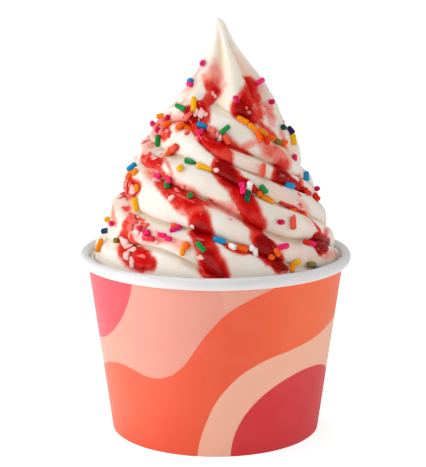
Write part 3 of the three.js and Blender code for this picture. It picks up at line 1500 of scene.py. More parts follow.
@dataclass
class YogurtSwirl:
    """The yogurt, in the cup and above it, as one skin.

    Lengths are in millimetres, apart from the lumps, which are (size in metres, seed).
    """

    shape: SwirlShape = field(default_factory=SwirlShape)
    front_columns: int = 308
    back_columns: int = 160
    sections: tuple[float, ...] = (
        0.0, 0.03, 0.08, 0.15, 0.23, 0.32, 0.41, 0.5, 0.58, 0.65, 0.71, 0.76, 0.79, 0.82, 0.85,
        0.89, 0.93, 0.97,
    )
    tip_rows: int = 72
    bottom: float = 7.9
    bottom_share: float = 0.985
    corner: float = 0.6
    wall_gap: float = 0.9
    wall_rows: tuple[float, ...] = (30.0, 55.0, 62.0)
    skirt: Pairs = ((1.0, 63.4), (0.995, 64.6), (0.98, 65.1), (0.965, 64.9))
    skirt_painted_shade: float = 0.5
    skirt_gap: float = 0.6
    weld_reach: float = 2e-6
    crease: Range = (0.55, 0.9)
    soft_above: Range = (63.0, 66.0)
    soft_below: Range = (112.0, 120.0)
    least_softening: float = 0.01
    softening_passes: int = 10
    unevenness: float = 0.35
    uneven_above: Range = (62.0, 66.0)
    tip_fade: float = 14.0
    broad_lumps: Lumps = (0.011, 3.0)
    fine_lumps: Lumps = (0.0038, 9.0)
    fine_share: float = 0.35

    def ring(self, cup: PaperCup, share: float, height: float) -> Array:
        """Give one level ring inside the cup.

        Args:
            cup: The cup.
            share: The ring's radius, as a share of the room inside the wall.
            height: Its height.

        Returns:
            Rows of x, y and z.
        """
        turn = np.radians(self.angles())
        radius = (cup.wall_radius(height) - self.wall_gap) * share
        level = np.full_like(turn, height)
        return np.stack([radius * np.cos(turn), radius * np.sin(turn), level], axis=1)

    def angles(self) -> Array:
        """Give the columns' angles, from the left round the front to the left again.

        Returns:
            The angles, -180 to 180, closer together in front.
        """
        front = np.linspace(-HALF_TURN, 0.0, self.front_columns + 1)
        back = np.linspace(0.0, HALF_TURN, self.back_columns + 1)
        return np.concatenate([front, back[1:]])

    def rows(self, cup: PaperCup) -> tuple[Array, Array]:
        """Lay out all rows of points, from the middle of the underside to the tip.

        Args:
            cup: The cup that holds the yogurt.

        Returns:
            The points, row by row, and how hollow each place is.
        """
        angle = self.angles()
        shape = self.shape
        flat = np.zeros_like(angle)
        lowest = shape.base + self.skirt_gap
        rows = [self.ring(cup, share, self.bottom) for share in (0.0, self.bottom_share)]
        rows += [self.ring(cup, 1.0, h) for h in (self.bottom + self.corner, *self.wall_rows)]
        # The skirt rings get a middling hollowness, so the finish paints a tan shade on them by
        # the wall.
        hollows = [flat] * len(rows) + [flat + self.skirt_painted_shade] * len(self.skirt)
        rows += [self.ring(cup, share, height) for share, height in self.skirt]
        levels = []
        for rib in range(shape.lowest - 1, shape.highest - 1, -1):
            top, foot = shape.edge(rib, angle), shape.edge(rib + 1, angle)
            for section in reversed(self.sections):
                levels.append(np.clip(top + (foot - top) * section, lowest, shape.level_from))
        for height in np.linspace(shape.level_from, shape.tip, self.tip_rows + 1)[1:]:
            levels.append(np.full_like(angle, height))
        for level in levels:
            points, hollow = shape.surface(angle, level)
            rows.append(points)
            hollows.append(hollow)
        return np.concatenate(rows) * MM, np.concatenate(hollows)

    def build(self, cup: PaperCup) -> Piece:
        """Shape a grid into the swirl and close it.

        Args:
            cup: The cup that holds the yogurt.

        Returns:
            The yogurt.
        """
        points, hollow = self.rows(cup)
        across = self.front_columns + self.back_columns
        along = len(points) // (across + 1) - 1
        clear_selection()
        bpy.ops.mesh.primitive_grid_add(
            x_subdivisions=across, y_subdivisions=along, size=1.0, location=(0, 0, 0)
        )
        swirl = newest("yogurt_swirl")
        grid = points_of(swirl.data)
        column = np.rint((grid[:, 0] + 0.5) * across).astype(int)
        row = np.rint((grid[:, 1] + 0.5) * along).astype(int)
        order = row * (across + 1) + column
        set_points(swirl.data, points[order])
        # The hollowness also tells the yogurt's finish where to paint shade into the creases.
        write_attribute(swirl.data, "hollow", hollow[order])
        weld(swirl, self.weld_reach)
        self.soften(swirl)
        self.roughen(swirl)
        swirl.data.materials.append(YogurtFinish().material())
        activate(swirl)
        bpy.ops.object.shade_smooth()
        return swirl

    def soften(self, swirl: Piece) -> None:
        """Round the creases between the ribs, where soft yogurt runs together.

        Args:
            swirl: The yogurt.
        """
        height = points_of(swirl.data)[:, 2] / MM
        weight = smoothstep(read_attribute(swirl.data, "hollow"), *self.crease)
        weight = weight * smoothstep(height, *self.soft_above)
        weight *= 1.0 - smoothstep(height, *self.soft_below)
        relax(swirl, np.where(weight > self.least_softening, weight, 0.0), self.softening_passes)

    def roughen(self, swirl: Piece) -> None:
        """Make the surface softly uneven, as piped yogurt is.

        Args:
            swirl: The yogurt.
        """
        points = points_of(swirl.data)
        height = points[:, 2] / MM
        above = smoothstep(height, *self.uneven_above)
        near_tip = smoothstep(self.shape.tip - height, 0.0, self.tip_fade)
        amount = lumps(points, *self.broad_lumps)
        amount = amount + self.fine_share * lumps(points, *self.fine_lumps)
        push = amount * self.unevenness * MM * above * near_tip
        set_points(swirl.data, points + normals_of(swirl.data) * push[:, None])


# --- Sauce, pulp and sprinkles ---


@dataclass
class Probe:
    """Finds places on the yogurt and the sauce, along sight lines and from the sides.

    The pieces carry what is laid on them, and the camera is the one whose image places are given
    in. Lengths are in metres.
    """

    pieces: Sequence[Piece]
    camera: StudioCamera
    lowest: float = 0.058
    middle: float = 0.002
    side_distance: float = 0.2
    side_slope: float = 0.25

    def __post_init__(self) -> None:
        """Index the pieces."""
        graph = bpy.context.evaluated_depsgraph_get()
        self._trees = [BVHTree.FromObject(piece, graph) for piece in self.pieces]

    def cast(self, start: Vector, direction: Vector) -> Hit | None:
        """Find the first place that a line meets.

        Args:
            start: Where the line starts.
            direction: Where it goes.

        Returns:
            The place and the way it faces, or None.
        """
        best = None
        for tree in self._trees:
            place, facing, _, distance = tree.ray_cast(start, direction)
            if place is not None and (best is None or distance < best[0]):
                best = (distance, place, facing)
        if best is None:
            return None
        return best[1], best[2] if best[2].dot(direction) < 0 else -best[2]

    def seen(self, across: float, down: float, reach: int = 12) -> Hit | None:
        """Find what lies behind a place in the image, or just inside the outline.

        Args:
            across: Pixels from the image's left side.
            down: Pixels from its top.
            reach: How many pixels inwards the search goes.

        Returns:
            The place and the way it faces, or None.
        """
        for inward in range(0, reach):
            shift = inward if across < self.camera.image_width / 2 else -inward
            found = self.cast(*self.camera.ray(across + shift, down))
            if found is not None and found[0].z > self.lowest:
                return found
        return None

    def hidden(self, place: Vector) -> bool:
        """Tell whether the yogurt hides a place from the camera.

        Args:
            place: The place.

        Returns:
            Whether something lies in front of it.
        """
        eye = Vector(self.camera.place)
        found = self.cast(eye, (place - eye).normalized())
        return found is not None and (found[0] - eye).length < (place - eye).length - MM

    def beside(self, angle: float, height: float) -> Hit | None:
        """Find a place on the swirl from its side.

        Args:
            angle: Degrees round the swirl.
            height: Metres above the table.

        Returns:
            The place and the way it faces, or None.
        """
        turn = math.radians(angle)
        outward = Vector((math.cos(turn), math.sin(turn), self.side_slope)).normalized()
        start = Vector((self.middle, 0, height)) + outward * self.side_distance
        return self.cast(start, -outward)


# The sauce's runs, each through places in the image. A place is (across, down, half width,
# strength): pixels, millimetres, and from 0.3 where the sauce has only tinted the yogurt to 1.2
# in a pool. The faintest runs, at the end, are partly a pink wash and partly painted shade over
# the right side of the swirl.
RUNS: tuple[tuple[Spot, ...], ...] = (
    ((199, 134, 1.6, 0.8), (205, 139, 2.6, 0.9), (212, 142, 3.4, 1), (219, 145, 3.6, 0.95),
     (223, 152, 3.7, 0.68), (224, 160, 3.6, 0.7), (222, 167, 3.8, 1.2), (229, 177, 3.8, 1.2),
     (236, 186, 3.7, 1.05), (242, 195, 3.9, 0.9), (248, 204, 4, 0.95), (252, 214, 4, 0.88),
     (257, 225, 3.9, 0.84), (260, 235, 3.6, 0.85), (262, 241, 3.1, 1.25), (266, 250, 4, 1.3),
     (271, 259, 4, 1.3), (279, 265, 3, 1.3), (284, 268, 1.8, 1.25)),
    ((240, 192, 2, 0.95), (246, 202, 1.7, 1), (248, 212, 1.4, 1)),
    ((227, 144, 3, 0.85), (236, 149, 2.4, 0.68), (245, 153, 1.7, 0.6), (251, 155, 1.1, 0.5)),
    ((206, 131, 2.4, 0.5), (214, 134, 2.8, 0.6), (222, 138, 2.4, 0.55)),
    ((234, 177, 1.6, 1.05), (246, 184, 1.8, 1), (255, 190, 1.4, 0.9), (262, 195, 0.9, 0.7)),
    ((167, 180, 2.2, 0.75), (176, 186, 2.8, 0.56), (184, 193, 3.4, 0.54), (191, 201, 3.8, 0.92),
     (196, 211, 4.2, 0.64), (199, 220, 4, 0.95), (201, 229, 4.2, 1.15), (203, 238, 4, 1),
     (206, 248, 3.8, 0.8), (208, 257, 3.8, 1.1), (212, 266, 4.3, 1), (217, 277, 4.4, 1.1)),
    ((196, 203, 2.4, 0.6), (206, 204, 2.8, 0.52), (216, 206, 2.8, 0.46), (227, 207, 2.8, 0.44),
     (236, 211, 2.8, 0.42), (243, 219, 2.6, 0.42)),
    ((180, 192, 0.8, 0.8), (188, 197, 1, 1), (200, 200, 0.9, 1), (212, 201, 0.6, 0.8)),
    ((156, 180, 1.6, 0.6), (162, 185, 2.4, 0.72), (168, 189, 2.8, 0.8), (175, 194, 3, 0.84),
     (182, 199, 3.2, 0.84), (190, 202, 2.4, 0.76), (199, 203, 1.8, 0.85), (207, 204, 1.4, 0.6)),
    ((170, 197, 1.4, 0.6), (177, 204, 2.2, 0.58), (184, 212, 2.2, 0.48)),
    ((222, 243, 1.2, 0.8), (232, 248, 1.5, 0.85), (243, 251, 2.2, 0.85), (252, 253, 1.6, 0.8)),
    ((126, 230, 2.4, 0.6), (122, 241, 2.8, 0.86), (125, 250, 3.6, 0.86), (132, 257, 4.4, 0.88),
     (141, 261, 4.4, 0.9), (150, 264, 3, 0.86)),
    ((127, 247, 2.4, 0.86), (135, 252, 2.6, 0.86), (144, 257, 3.2, 0.88)),
    ((131, 236, 1, 0.62), (134, 242, 1.2, 0.66), (140, 249, 1.4, 0.72)),
    ((126, 224, 2.4, 0.75), (132, 222, 2.2, 0.7)),
    ((123, 207, 0.8, 0.8), (132, 213, 0.7, 0.7), (140, 219, 0.7, 0.7), (146, 225, 1, 0.75),
     (144, 234, 1.4, 0.55)),
    ((126, 208, 1.6, 0.7), (129, 213, 1.4, 0.5)),
    ((146, 238, 1.6, 0.6), (157, 240, 1.2, 0.5), (170, 240, 2, 0.36), (180, 243, 2, 0.3),
     (190, 246, 2.2, 0.34)),
    ((142, 160, 2.2, 0.75), (149, 161, 3, 0.85), (157, 163, 2.6, 0.85), (160, 170, 1.4, 0.6),
     (165, 178, 1.6, 0.7)),
    ((161, 154, 0.7, 0.5), (168, 164, 0.8, 0.5), (172, 174, 0.9, 0.5)),
    ((122, 178, 1.6, 0.55), (128, 184, 2.6, 0.8), (136, 188, 2.8, 0.85), (124, 192, 2.2, 1),
     (133, 196, 2, 0.85)),
    ((121, 197, 0.6, 0.7), (124, 205, 0.5, 0.6), (131, 212, 0.5, 0.6)),
    ((158, 121, 2.2, 0.45), (162, 128, 3.2, 0.5), (166, 134, 2.4, 0.8), (156, 135, 2.6, 0.4),
     (150, 135, 2, 0.35)),
    ((150, 147, 1.4, 0.24), (144, 152, 1.8, 0.38), (142, 160, 2, 0.5)),
    ((170, 115, 1.6, 0.4), (166, 121, 1.6, 0.5)),
    ((166, 155, 1, 0.6), (171, 151, 1.6, 0.75), (178, 148, 1, 0.6)),
    ((179, 127, 1.8, 0.8), (186, 125, 2, 0.85), (194, 123, 1.8, 0.85)),
    ((215, 91, 1.6, 0.8), (212, 97, 1.8, 0.75), (206, 103, 2, 0.68), (199, 108, 3.2, 0.95),
     (192, 113, 3.8, 1.1), (190, 119, 3.8, 1.1), (198, 120, 3.6, 0.95), (200, 130, 2.9, 0.85),
     (207, 138, 2.6, 0.8)),
    ((203, 110, 1.8, 0.75), (207, 115, 1.6, 0.7), (203, 122, 2, 0.9)),
    ((215, 60, 1.8, 0.22), (215, 69, 3.2, 0.36), (215, 77, 4, 0.42), (214, 85, 4, 0.45),
     (215, 91, 3, 0.6)),
    ((208, 78, 1.8, 0.44), (212, 84, 2.2, 0.5), (214, 90, 1.8, 0.82)),
    ((209, 97, 2, 0.66), (205, 105, 2.2, 0.64), (205, 113, 2.4, 0.64), (205, 121, 2.2, 0.7)),
    ((204, 76, 1.6, 0.36), (208, 83, 2.2, 0.5), (210, 88, 1.8, 0.7)),
    ((219, 88, 2.2, 0.42), (225, 85, 1.8, 0.3)),
    ((204, 60, 1.4, 0.22), (196, 74, 1.8, 0.26), (186, 90, 2.2, 0.26), (176, 104, 2.4, 0.28),
     (160, 113, 2.4, 0.26)),
    ((196, 82, 2.6, 0.2), (186, 100, 2.6, 0.22), (180, 104, 1.6, 0.4)),
    ((158, 124, 4.4, 0.26), (150, 142, 4.6, 0.28), (147, 158, 4.6, 0.3), (156, 172, 4.4, 0.34),
     (168, 184, 4, 0.36)),
    ((126, 178, 4.2, 0.34), (129, 190, 4.8, 0.42), (126, 206, 3.4, 0.24)),
    ((148, 167, 3.4, 0.46), (156, 174, 4.2, 0.48), (166, 182, 3.6, 0.52), (176, 189, 3.2, 0.6)),
    ((156, 122, 3.4, 0.4), (162, 130, 3.8, 0.46), (160, 138, 2.4, 0.36)),
    ((170, 122, 3, 0.3), (182, 122, 3.6, 0.4), (196, 128, 4, 0.4)),
    ((130, 226, 5, 0.3), (146, 236, 4.2, 0.3), (164, 238, 3.4, 0.24), (182, 246, 3, 0.28)),
    ((256, 84, 2.4, 0.26), (259, 94, 2.8, 0.24)),
    ((243, 77, 1.2, 0.4), (248, 83, 2.8, 0.72), (250, 90, 3.4, 0.74), (248, 99, 4, 0.9),
     (241, 107, 3.6, 1.1), (245, 114, 3.6, 1.15), (253, 118, 3, 0.9), (258, 122, 1.4, 0.6),
     (265, 128, 0.7, 0.6), (272, 134, 0.7, 0.7), (284, 146, 0.6, 0.6), (296, 158, 0.4, 0.4)),
    ((254, 97, 2.6, 0.7), (256, 106, 3.6, 0.64), (257, 114, 3.2, 0.68)),
    ((262, 104, 2.4, 0.3), (269, 109, 2.8, 0.42), (271, 116, 3.2, 0.46), (272, 124, 2, 0.36)),
    ((281, 132, 1.6, 0.4), (284, 138, 1.6, 0.36)),
    ((262, 146, 2.4, 0.38), (268, 150, 3.6, 0.5), (276, 153, 4.6, 0.52), (282, 159, 4.6, 0.54),
     (283, 166, 4, 0.66), (282, 175, 3.8, 1.25), (290, 181, 1.8, 1.1), (298, 187, 1.8, 1.05),
     (307, 194, 1.5, 0.95), (316, 200, 1, 0.8)),
    ((299, 176, 1.6, 0.4), (301, 183, 1.8, 0.75)),
    ((294, 197, 2.4, 0.2), (303, 205, 2.6, 0.3), (309, 214, 2, 0.24)),
    ((113, 206, 1.2, 0.3), (113, 216, 1.8, 0.5), (116, 224, 1.4, 0.46)),
    ((280, 203, 0.8, 0.75), (292, 208, 1.2, 0.8), (303, 213, 1.1, 0.75), (313, 222, 0.6, 0.65),
     (320, 231, 0.9, 0.8), (318, 239, 2.4, 1.2), (321, 247, 2.8, 1.3), (316, 243, 2.6, 1.3)),
    ((315, 238, 2.2, 1.25), (320, 240, 2.6, 1.3), (325, 243, 2.4, 1.25)),
    ((314, 244, 2.2, 1.25), (320, 249, 2.5, 1.3), (325, 246, 2.3, 1.25)),
    ((326, 213, 1, 0.35), (327, 224, 1.6, 0.42), (325, 233, 2, 0.5)),
    ((322, 258, 1.4, 0.35), (330, 254, 2, 0.36), (336, 253, 2.2, 0.42)),
    ((243, 147, 1.6, 0.4), (251, 144, 1.8, 0.42), (258, 142, 1.4, 0.34)),
    # Faint tints over the right side and the tip's right edge: partly a pink wash of sauce, partly
    # painted shade where that side lies in shade.
    ((236, 160, 5, 0.13), (256, 172, 5.5, 0.15), (276, 190, 5.5, 0.17), (296, 206, 5, 0.19),
     (312, 222, 4, 0.2)),
    ((232, 222, 5, 0.12), (250, 236, 5.5, 0.14), (276, 240, 6, 0.15), (300, 250, 6, 0.18),
     (316, 262, 4, 0.2)),
    ((280, 140, 4, 0.16), (294, 156, 4.5, 0.19), (306, 172, 4, 0.2), (316, 186, 3, 0.2)),
    ((238, 58, 3, 0.12), (248, 72, 4, 0.18), (260, 92, 4.5, 0.22)),
)


@dataclass(frozen=True)
class Drip:
    """A run of sauce down the sides or the back, at angles and heights round the swirl.

    It wanders, and its width and strength vary, by shares of what is given.
    """

    angle: float
    drift: float
    top: float
    foot: float
    half_width: float
    strength: float
    seed: int
    steps: int = 9
    wandering: float = 7.0
    widths: Range = (0.6, 1.25)
    strengths: Range = (0.6, 1.15)
    top_strength: float = 0.75
    more_below: float = 0.3

    def places(self) -> list[Spot]:
        """Give the places down the run.

        Returns:
            Angle, height, half width and strength of each place.
        """
        chance = random.Random(self.seed)
        made = []
        wander = 0.0
        for step in range(self.steps + 1):
            share = step / self.steps
            wander += chance.uniform(-self.wandering, self.wandering)
            width = self.half_width * chance.uniform(*self.widths)
            strength = self.strength * chance.uniform(*self.strengths)
            strength *= self.top_strength + self.more_below * share
            height = self.top + (self.foot - self.top) * share
            made.append((self.angle + self.drift * share + wander, height, width, strength))
        return made


@dataclass
class StrawberrySauce:
    """The sauce: runs that follow the ribs' creases and spill over them.

    The sauce stands proud where the wetness is over edge_wet, and rises so many millimetres for
    each unit of wetness. Lumps are (size in metres, seed).
    """

    runs: tuple[tuple[Spot, ...], ...] = RUNS
    drips: tuple[Drip, ...] = (
        Drip(10, 14, 108, 74, 2.6, 0.85, 17),
        Drip(32, 20, 116, 68, 3.0, 1.0, 11),
        Drip(56, 26, 126, 70, 3.4, 1.1, 12),
        Drip(90, 12, 120, 66, 3.2, 1.0, 13),
        Drip(118, 20, 108, 72, 3.0, 1.1, 14),
        Drip(134, 14, 124, 67, 3.4, 1.1, 15),
    )
    edge_dip: float = 0.3
    edge_wet: float = 0.62
    rise: float = 1.5
    dip_slope: float = 2.0
    trimmed: float = 0.98
    near_widths: float = 2.0
    faint_strength: float = 0.3
    firm_over: float = 0.4
    soft_from: float = 0.55
    faint_from: float = 0.1
    soft_to: float = 1.4
    raggedness: float = 0.18
    ragged_share: float = 0.35
    ragged_lumps: tuple[Lumps, Lumps] = ((0.0042, 21.0), (0.0020, 5.0))
    streaks: float = 0.09
    streak_share: float = 0.6
    streak_lumps: tuple[Lumps, Lumps] = ((0.0034, 31.0), (0.0015, 33.0))
    pooling: float = 0.18
    pooling_hollows: Range = (0.4, 1.0)
    pooling_wet: Range = (0.3, 0.7)
    wettest: float = 1.3
    pulpiness: float = 0.12
    pulp_lumps: Lumps = (0.0026, 14.0)
    level_slope: float = 2.5
    level_passes: int = 14
    thickness: float = 0.5

    def lines(self, probe: Probe) -> list[Array]:
        """Lay the runs and drips on the yogurt.

        Args:
            probe: Finds the places.

        Returns:
            For each line, rows of x, y, z and half width, in metres, and strength.
        """
        found = [[(probe.seen(p[0], p[1]), p) for p in run] for run in self.runs]
        for drip in self.drips:
            found.append([(probe.beside(p[0], p[1] * MM), p) for p in drip.places()])
        lines = [[(*hit[0], p[2] * MM, p[3]) for hit, p in line if hit] for line in found]
        return [np.array(line) for line in lines if len(line) > 1]

    def spread(self, start: Array, end: Array, points: Array) -> tuple[Array, ...]:
        """Find the points near a stretch of sauce.

        Args:
            start: The stretch's start: x, y, z, half width and strength.
            end: Its end.
            points: Points on the yogurt.

        Returns:
            The numbers of the near points, their place along the stretch, 0 to 1, and how far
            from it they are.
        """
        step = end[:3] - start[:3]
        reach = max(start[3], end[3]) * self.near_widths
        least = np.minimum(start[:3], end[:3]) - reach
        most = np.maximum(start[:3], end[:3]) + reach
        near = np.flatnonzero(((points > least) & (points < most)).all(axis=1))
        offset = points[near] - start[:3]
        share = np.clip(offset @ step / max(step @ step, 1e-12), 0.0, 1.0)
        return near, share, np.linalg.norm(offset - share[:, None] * step, axis=1)

    def wetness(self, points: Array, hollow: Array, lines: Sequence[Array]) -> Array:
        """Work out how much sauce lies at each point.

        Args:
            points: Points on the yogurt.
            hollow: How hollow each place is, 0 to 1: sauce gathers in hollows.
            lines: The lines that the sauce runs along.

        Returns:
            The wetness: 0 on clean yogurt, about 1.2 in a pool.
        """
        ragged = 1.0 + self.raggedness * lumps(points, *self.ragged_lumps[0])
        ragged += self.ragged_share * self.raggedness * lumps(points, *self.ragged_lumps[1])
        wet = np.zeros(len(points))
        for line in lines:
            for start, end in zip(line[:-1], line[1:]):
                near, share, away = self.spread(start, end, points)
                width = blend(start[3], end[3], share) * ragged[near]
                strength = blend(start[4], end[4], share)
                firm = np.clip((strength - self.faint_strength) / self.firm_over, 0.0, 1.0)
                low = blend(self.faint_from, self.soft_from, firm)
                covered = 1.0 - smoothstep(away / width, low, self.soft_to)
                wet[near] = np.maximum(wet[near], covered * strength)
        uneven = lumps(points, *self.streak_lumps[0])
        uneven = uneven + self.streak_share * lumps(points, *self.streak_lumps[1])
        pooled = smoothstep(hollow, *self.pooling_hollows) * smoothstep(wet, *self.pooling_wet)
        wet = wet * (1.0 + self.streaks * uneven) + self.pooling * pooled
        return np.clip(wet, 0.0, self.wettest)

    def build(self, swirl: Piece, camera: StudioCamera) -> Piece:
        """Wet the yogurt and lay the deeper sauce on it.

        Args:
            swirl: The yogurt.
            camera: The camera whose image places the runs are given in.

        Returns:
            The sauce.
        """
        points = points_of(swirl.data)
        facing = normals_of(swirl.data)
        lines = self.lines(Probe([swirl], camera))
        wet = self.wetness(points, read_attribute(swirl.data, "hollow"), lines)
        write_attribute(swirl.data, "wet", wet)
        activate(swirl)
        bpy.ops.object.duplicate()
        sauce = newest("strawberry_sauce")
        pulpy = 1.0 + self.pulpiness * lumps(points, *self.pulp_lumps)
        lift = (wet - self.edge_wet) * self.rise
        lift = np.where(lift > 0, lift * pulpy, lift * self.dip_slope)
        lift = np.maximum(lift, -self.edge_dip)
        set_points(sauce.data, points + facing * lift[:, None] * MM)
        self.trim(sauce, lift <= -self.edge_dip * self.trimmed)
        self.settle(sauce)
        sauce.data.materials.clear()
        sauce.data.materials.append(SauceFinish().material())
        return sauce

    def trim(self, sauce: Piece, unwanted: Array) -> None:
        """Delete the copy's skin where there is no sauce.

        Args:
            sauce: The copy of the yogurt's skin.
            unwanted: Which of its points have no sauce.
        """
        with editing(sauce):
            bpy.ops.mesh.select_mode(type="VERT")
            bpy.ops.mesh.select_all(action="DESELECT")
        sauce.data.vertices.foreach_set("select", unwanted)
        with editing(sauce):
            bpy.ops.mesh.delete(type="VERT")
            bpy.ops.mesh.select_all(action="SELECT")
            bpy.ops.mesh.delete_loose()

    def settle(self, sauce: Piece) -> None:
        """Let the sauce level itself where it is deep, then close its underside.

        Args:
            sauce: The sauce's skin.
        """
        above = read_attribute(sauce.data, "wet").astype(float) - self.edge_wet
        relax(sauce, np.clip(above * self.level_slope, 0.0, 1.0), self.level_passes)
        solid = sauce.modifiers.new("thickness", "SOLIDIFY")
        solid.thickness = self.thickness * MM
        solid.offset = -1.0
        bpy.ops.object.modifier_apply(modifier=solid.name)


class Sugar(Enum):
    """The colours of the sprinkles, as display values."""

    PINK = (250, 30, 112)
    MAGENTA = (222, 0, 84)
    YELLOW = (255, 188, 0)
    AMBER = (255, 146, 0)
    ORANGE = (255, 102, 0)
    RED = (236, 44, 12)
    ROSE = (238, 40, 66)
    GREEN = (26, 148, 70)
    PINE = (10, 82, 58)
    BLUE = (0, 152, 212)
    VIOLET = (56, 22, 92)
    NAVY = (22, 76, 124)
    WHITE = (252, 242, 236)
    SALMON = (248, 92, 66)
    OLIVE = (136, 122, 36)

    def finish(self) -> SugarFinish:
        """Give the colour's finish."""
        return SugarFinish(name=f"sugar_{self.name.lower()}", tone=colour(*self.value))


END_ON = 999.0

# Where strands lie in the image. A spot is (across, down, tilt, length): pixels, degrees
# anticlockwise or END_ON, and millimetres.
SPRINKLE_SPOTS: dict[Sugar, tuple[Spot, ...]] = {
    Sugar.PINK: (
        (204, 64, END_ON, 3), (259, 82.5, 35, 4.2), (200, 133, END_ON, 3.2), (293, 157, -60, 2.6),
        (242, 184, 0, 2.2), (242, 191, 85, 3.4), (159, 175, 0, 2.8), (113, 224, END_ON, 2.8),
        (148, 233, 20, 2.8), (163, 236, -15, 3.2), (169, 239, -15, 2.6), (176, 230, 52, 5),
        (282, 247, 15, 4.8), (150, 125, END_ON, 3), (311, 245, -10, 3.2), (191, 85.5, -30, 2.6),
        (170, 180, 20, 2.2),
    ),
    Sugar.MAGENTA: (
        (237, 101, -65, 3.2), (280, 222, END_ON, 3.2), (270.5, 102, END_ON, 2),
        (159, 131, 40, 2.2), (315, 189, END_ON, 1.8), (169, 118, 30, 2.2),
    ),
    Sugar.YELLOW: (
        (195, 105, -80, 5.8), (204, 169, -27, 6.2), (181, 169, 45, 2.8), (137, 204, -80, 5.2),
        (109, 220, END_ON, 2.4), (295, 262, 20, 4), (292, 140, -85, 4.2),
    ),
    Sugar.AMBER: (
        (242, 122, -35, 4.8), (252, 129, -34, 4.4), (261, 134, -30, 4.2), (267, 198, -38, 5.2),
        (160, 118, -10, 3), (101, 246, 65, 5.4), (184, 249, 75, 5), (138, 188, 70, 2.6),
        (136, 173, 25, 2.8), (291, 268, 80, 3.4),
    ),
    Sugar.ORANGE: (
        (258, 137, -78, 5), (270, 137, -25, 4), (283, 143, 55, 3), (131, 176, 35, 3.6),
        (168, 126, 60, 2.8), (187, 246, 60, 2.8), (241, 250, 0, 4.6), (292, 209, -25, 3),
        (302, 213, -20, 3.2), (276, 252, -55, 3.2), (271, 256, END_ON, 2), (175, 224, 10, 2.4),
        (181, 127, 40, 3.8), (189, 127, -35, 3.2), (260, 193, END_ON, 1.8), (169, 155, 65, 2.6),
    ),
    Sugar.RED: (
        (265, 141, -60, 3.6), (305, 191, -45, 3.4), (315, 198, -50, 3.4), (306, 244, -20, 3),
    ),
    Sugar.GREEN: (
        (182, 108, -27, 5.2), (159, 141, 88, 4.4), (225, 130, 40, 4.4), (190, 163, -35, 4.2),
        (263, 189, -45, 3.8), (201, 247, -48, 4.6), (167, 186, 90, 3.8), (190, 197, END_ON, 2.2),
    ),
    Sugar.PINE: (
        (247, 197, 76, 4.6), (282, 128, END_ON, 2.4),
    ),
    Sugar.NAVY: (
        (107, 231, END_ON, 3.8),
    ),
    Sugar.BLUE: (
        (201, 127, -10, 4), (133, 168, 12, 4.2), (289, 184, -30, 4), (305, 176, -65, 3.8),
        (219, 242, -20, 4.6), (191.5, 82, END_ON, 2.4), (315, 267, END_ON, 2.4),
    ),
    Sugar.VIOLET: (
        (289, 131, -15, 3.4),
    ),
    Sugar.WHITE: (
        (249, 186, 80, 4.2), (232, 248, END_ON, 3.2), (256, 252, 80, 4.8), (252, 247, 60, 2.2),
    ),
    Sugar.SALMON: (
        (227, 139, -70, 3.8), (262, 170, 88, 4.8), (292, 223, -85, 4.8), (175, 148, 35, 3.6),
        (167, 119, 5, 3),
    ),
    Sugar.ROSE: (
        (150, 238, -3, 5.4), (141, 229, END_ON, 2.4),
    ),
    Sugar.OLIVE: (
        (277, 141, -30, 2.4), (118, 240, 10, 2.2), (310, 264, -10, 3.4),
    ),
}


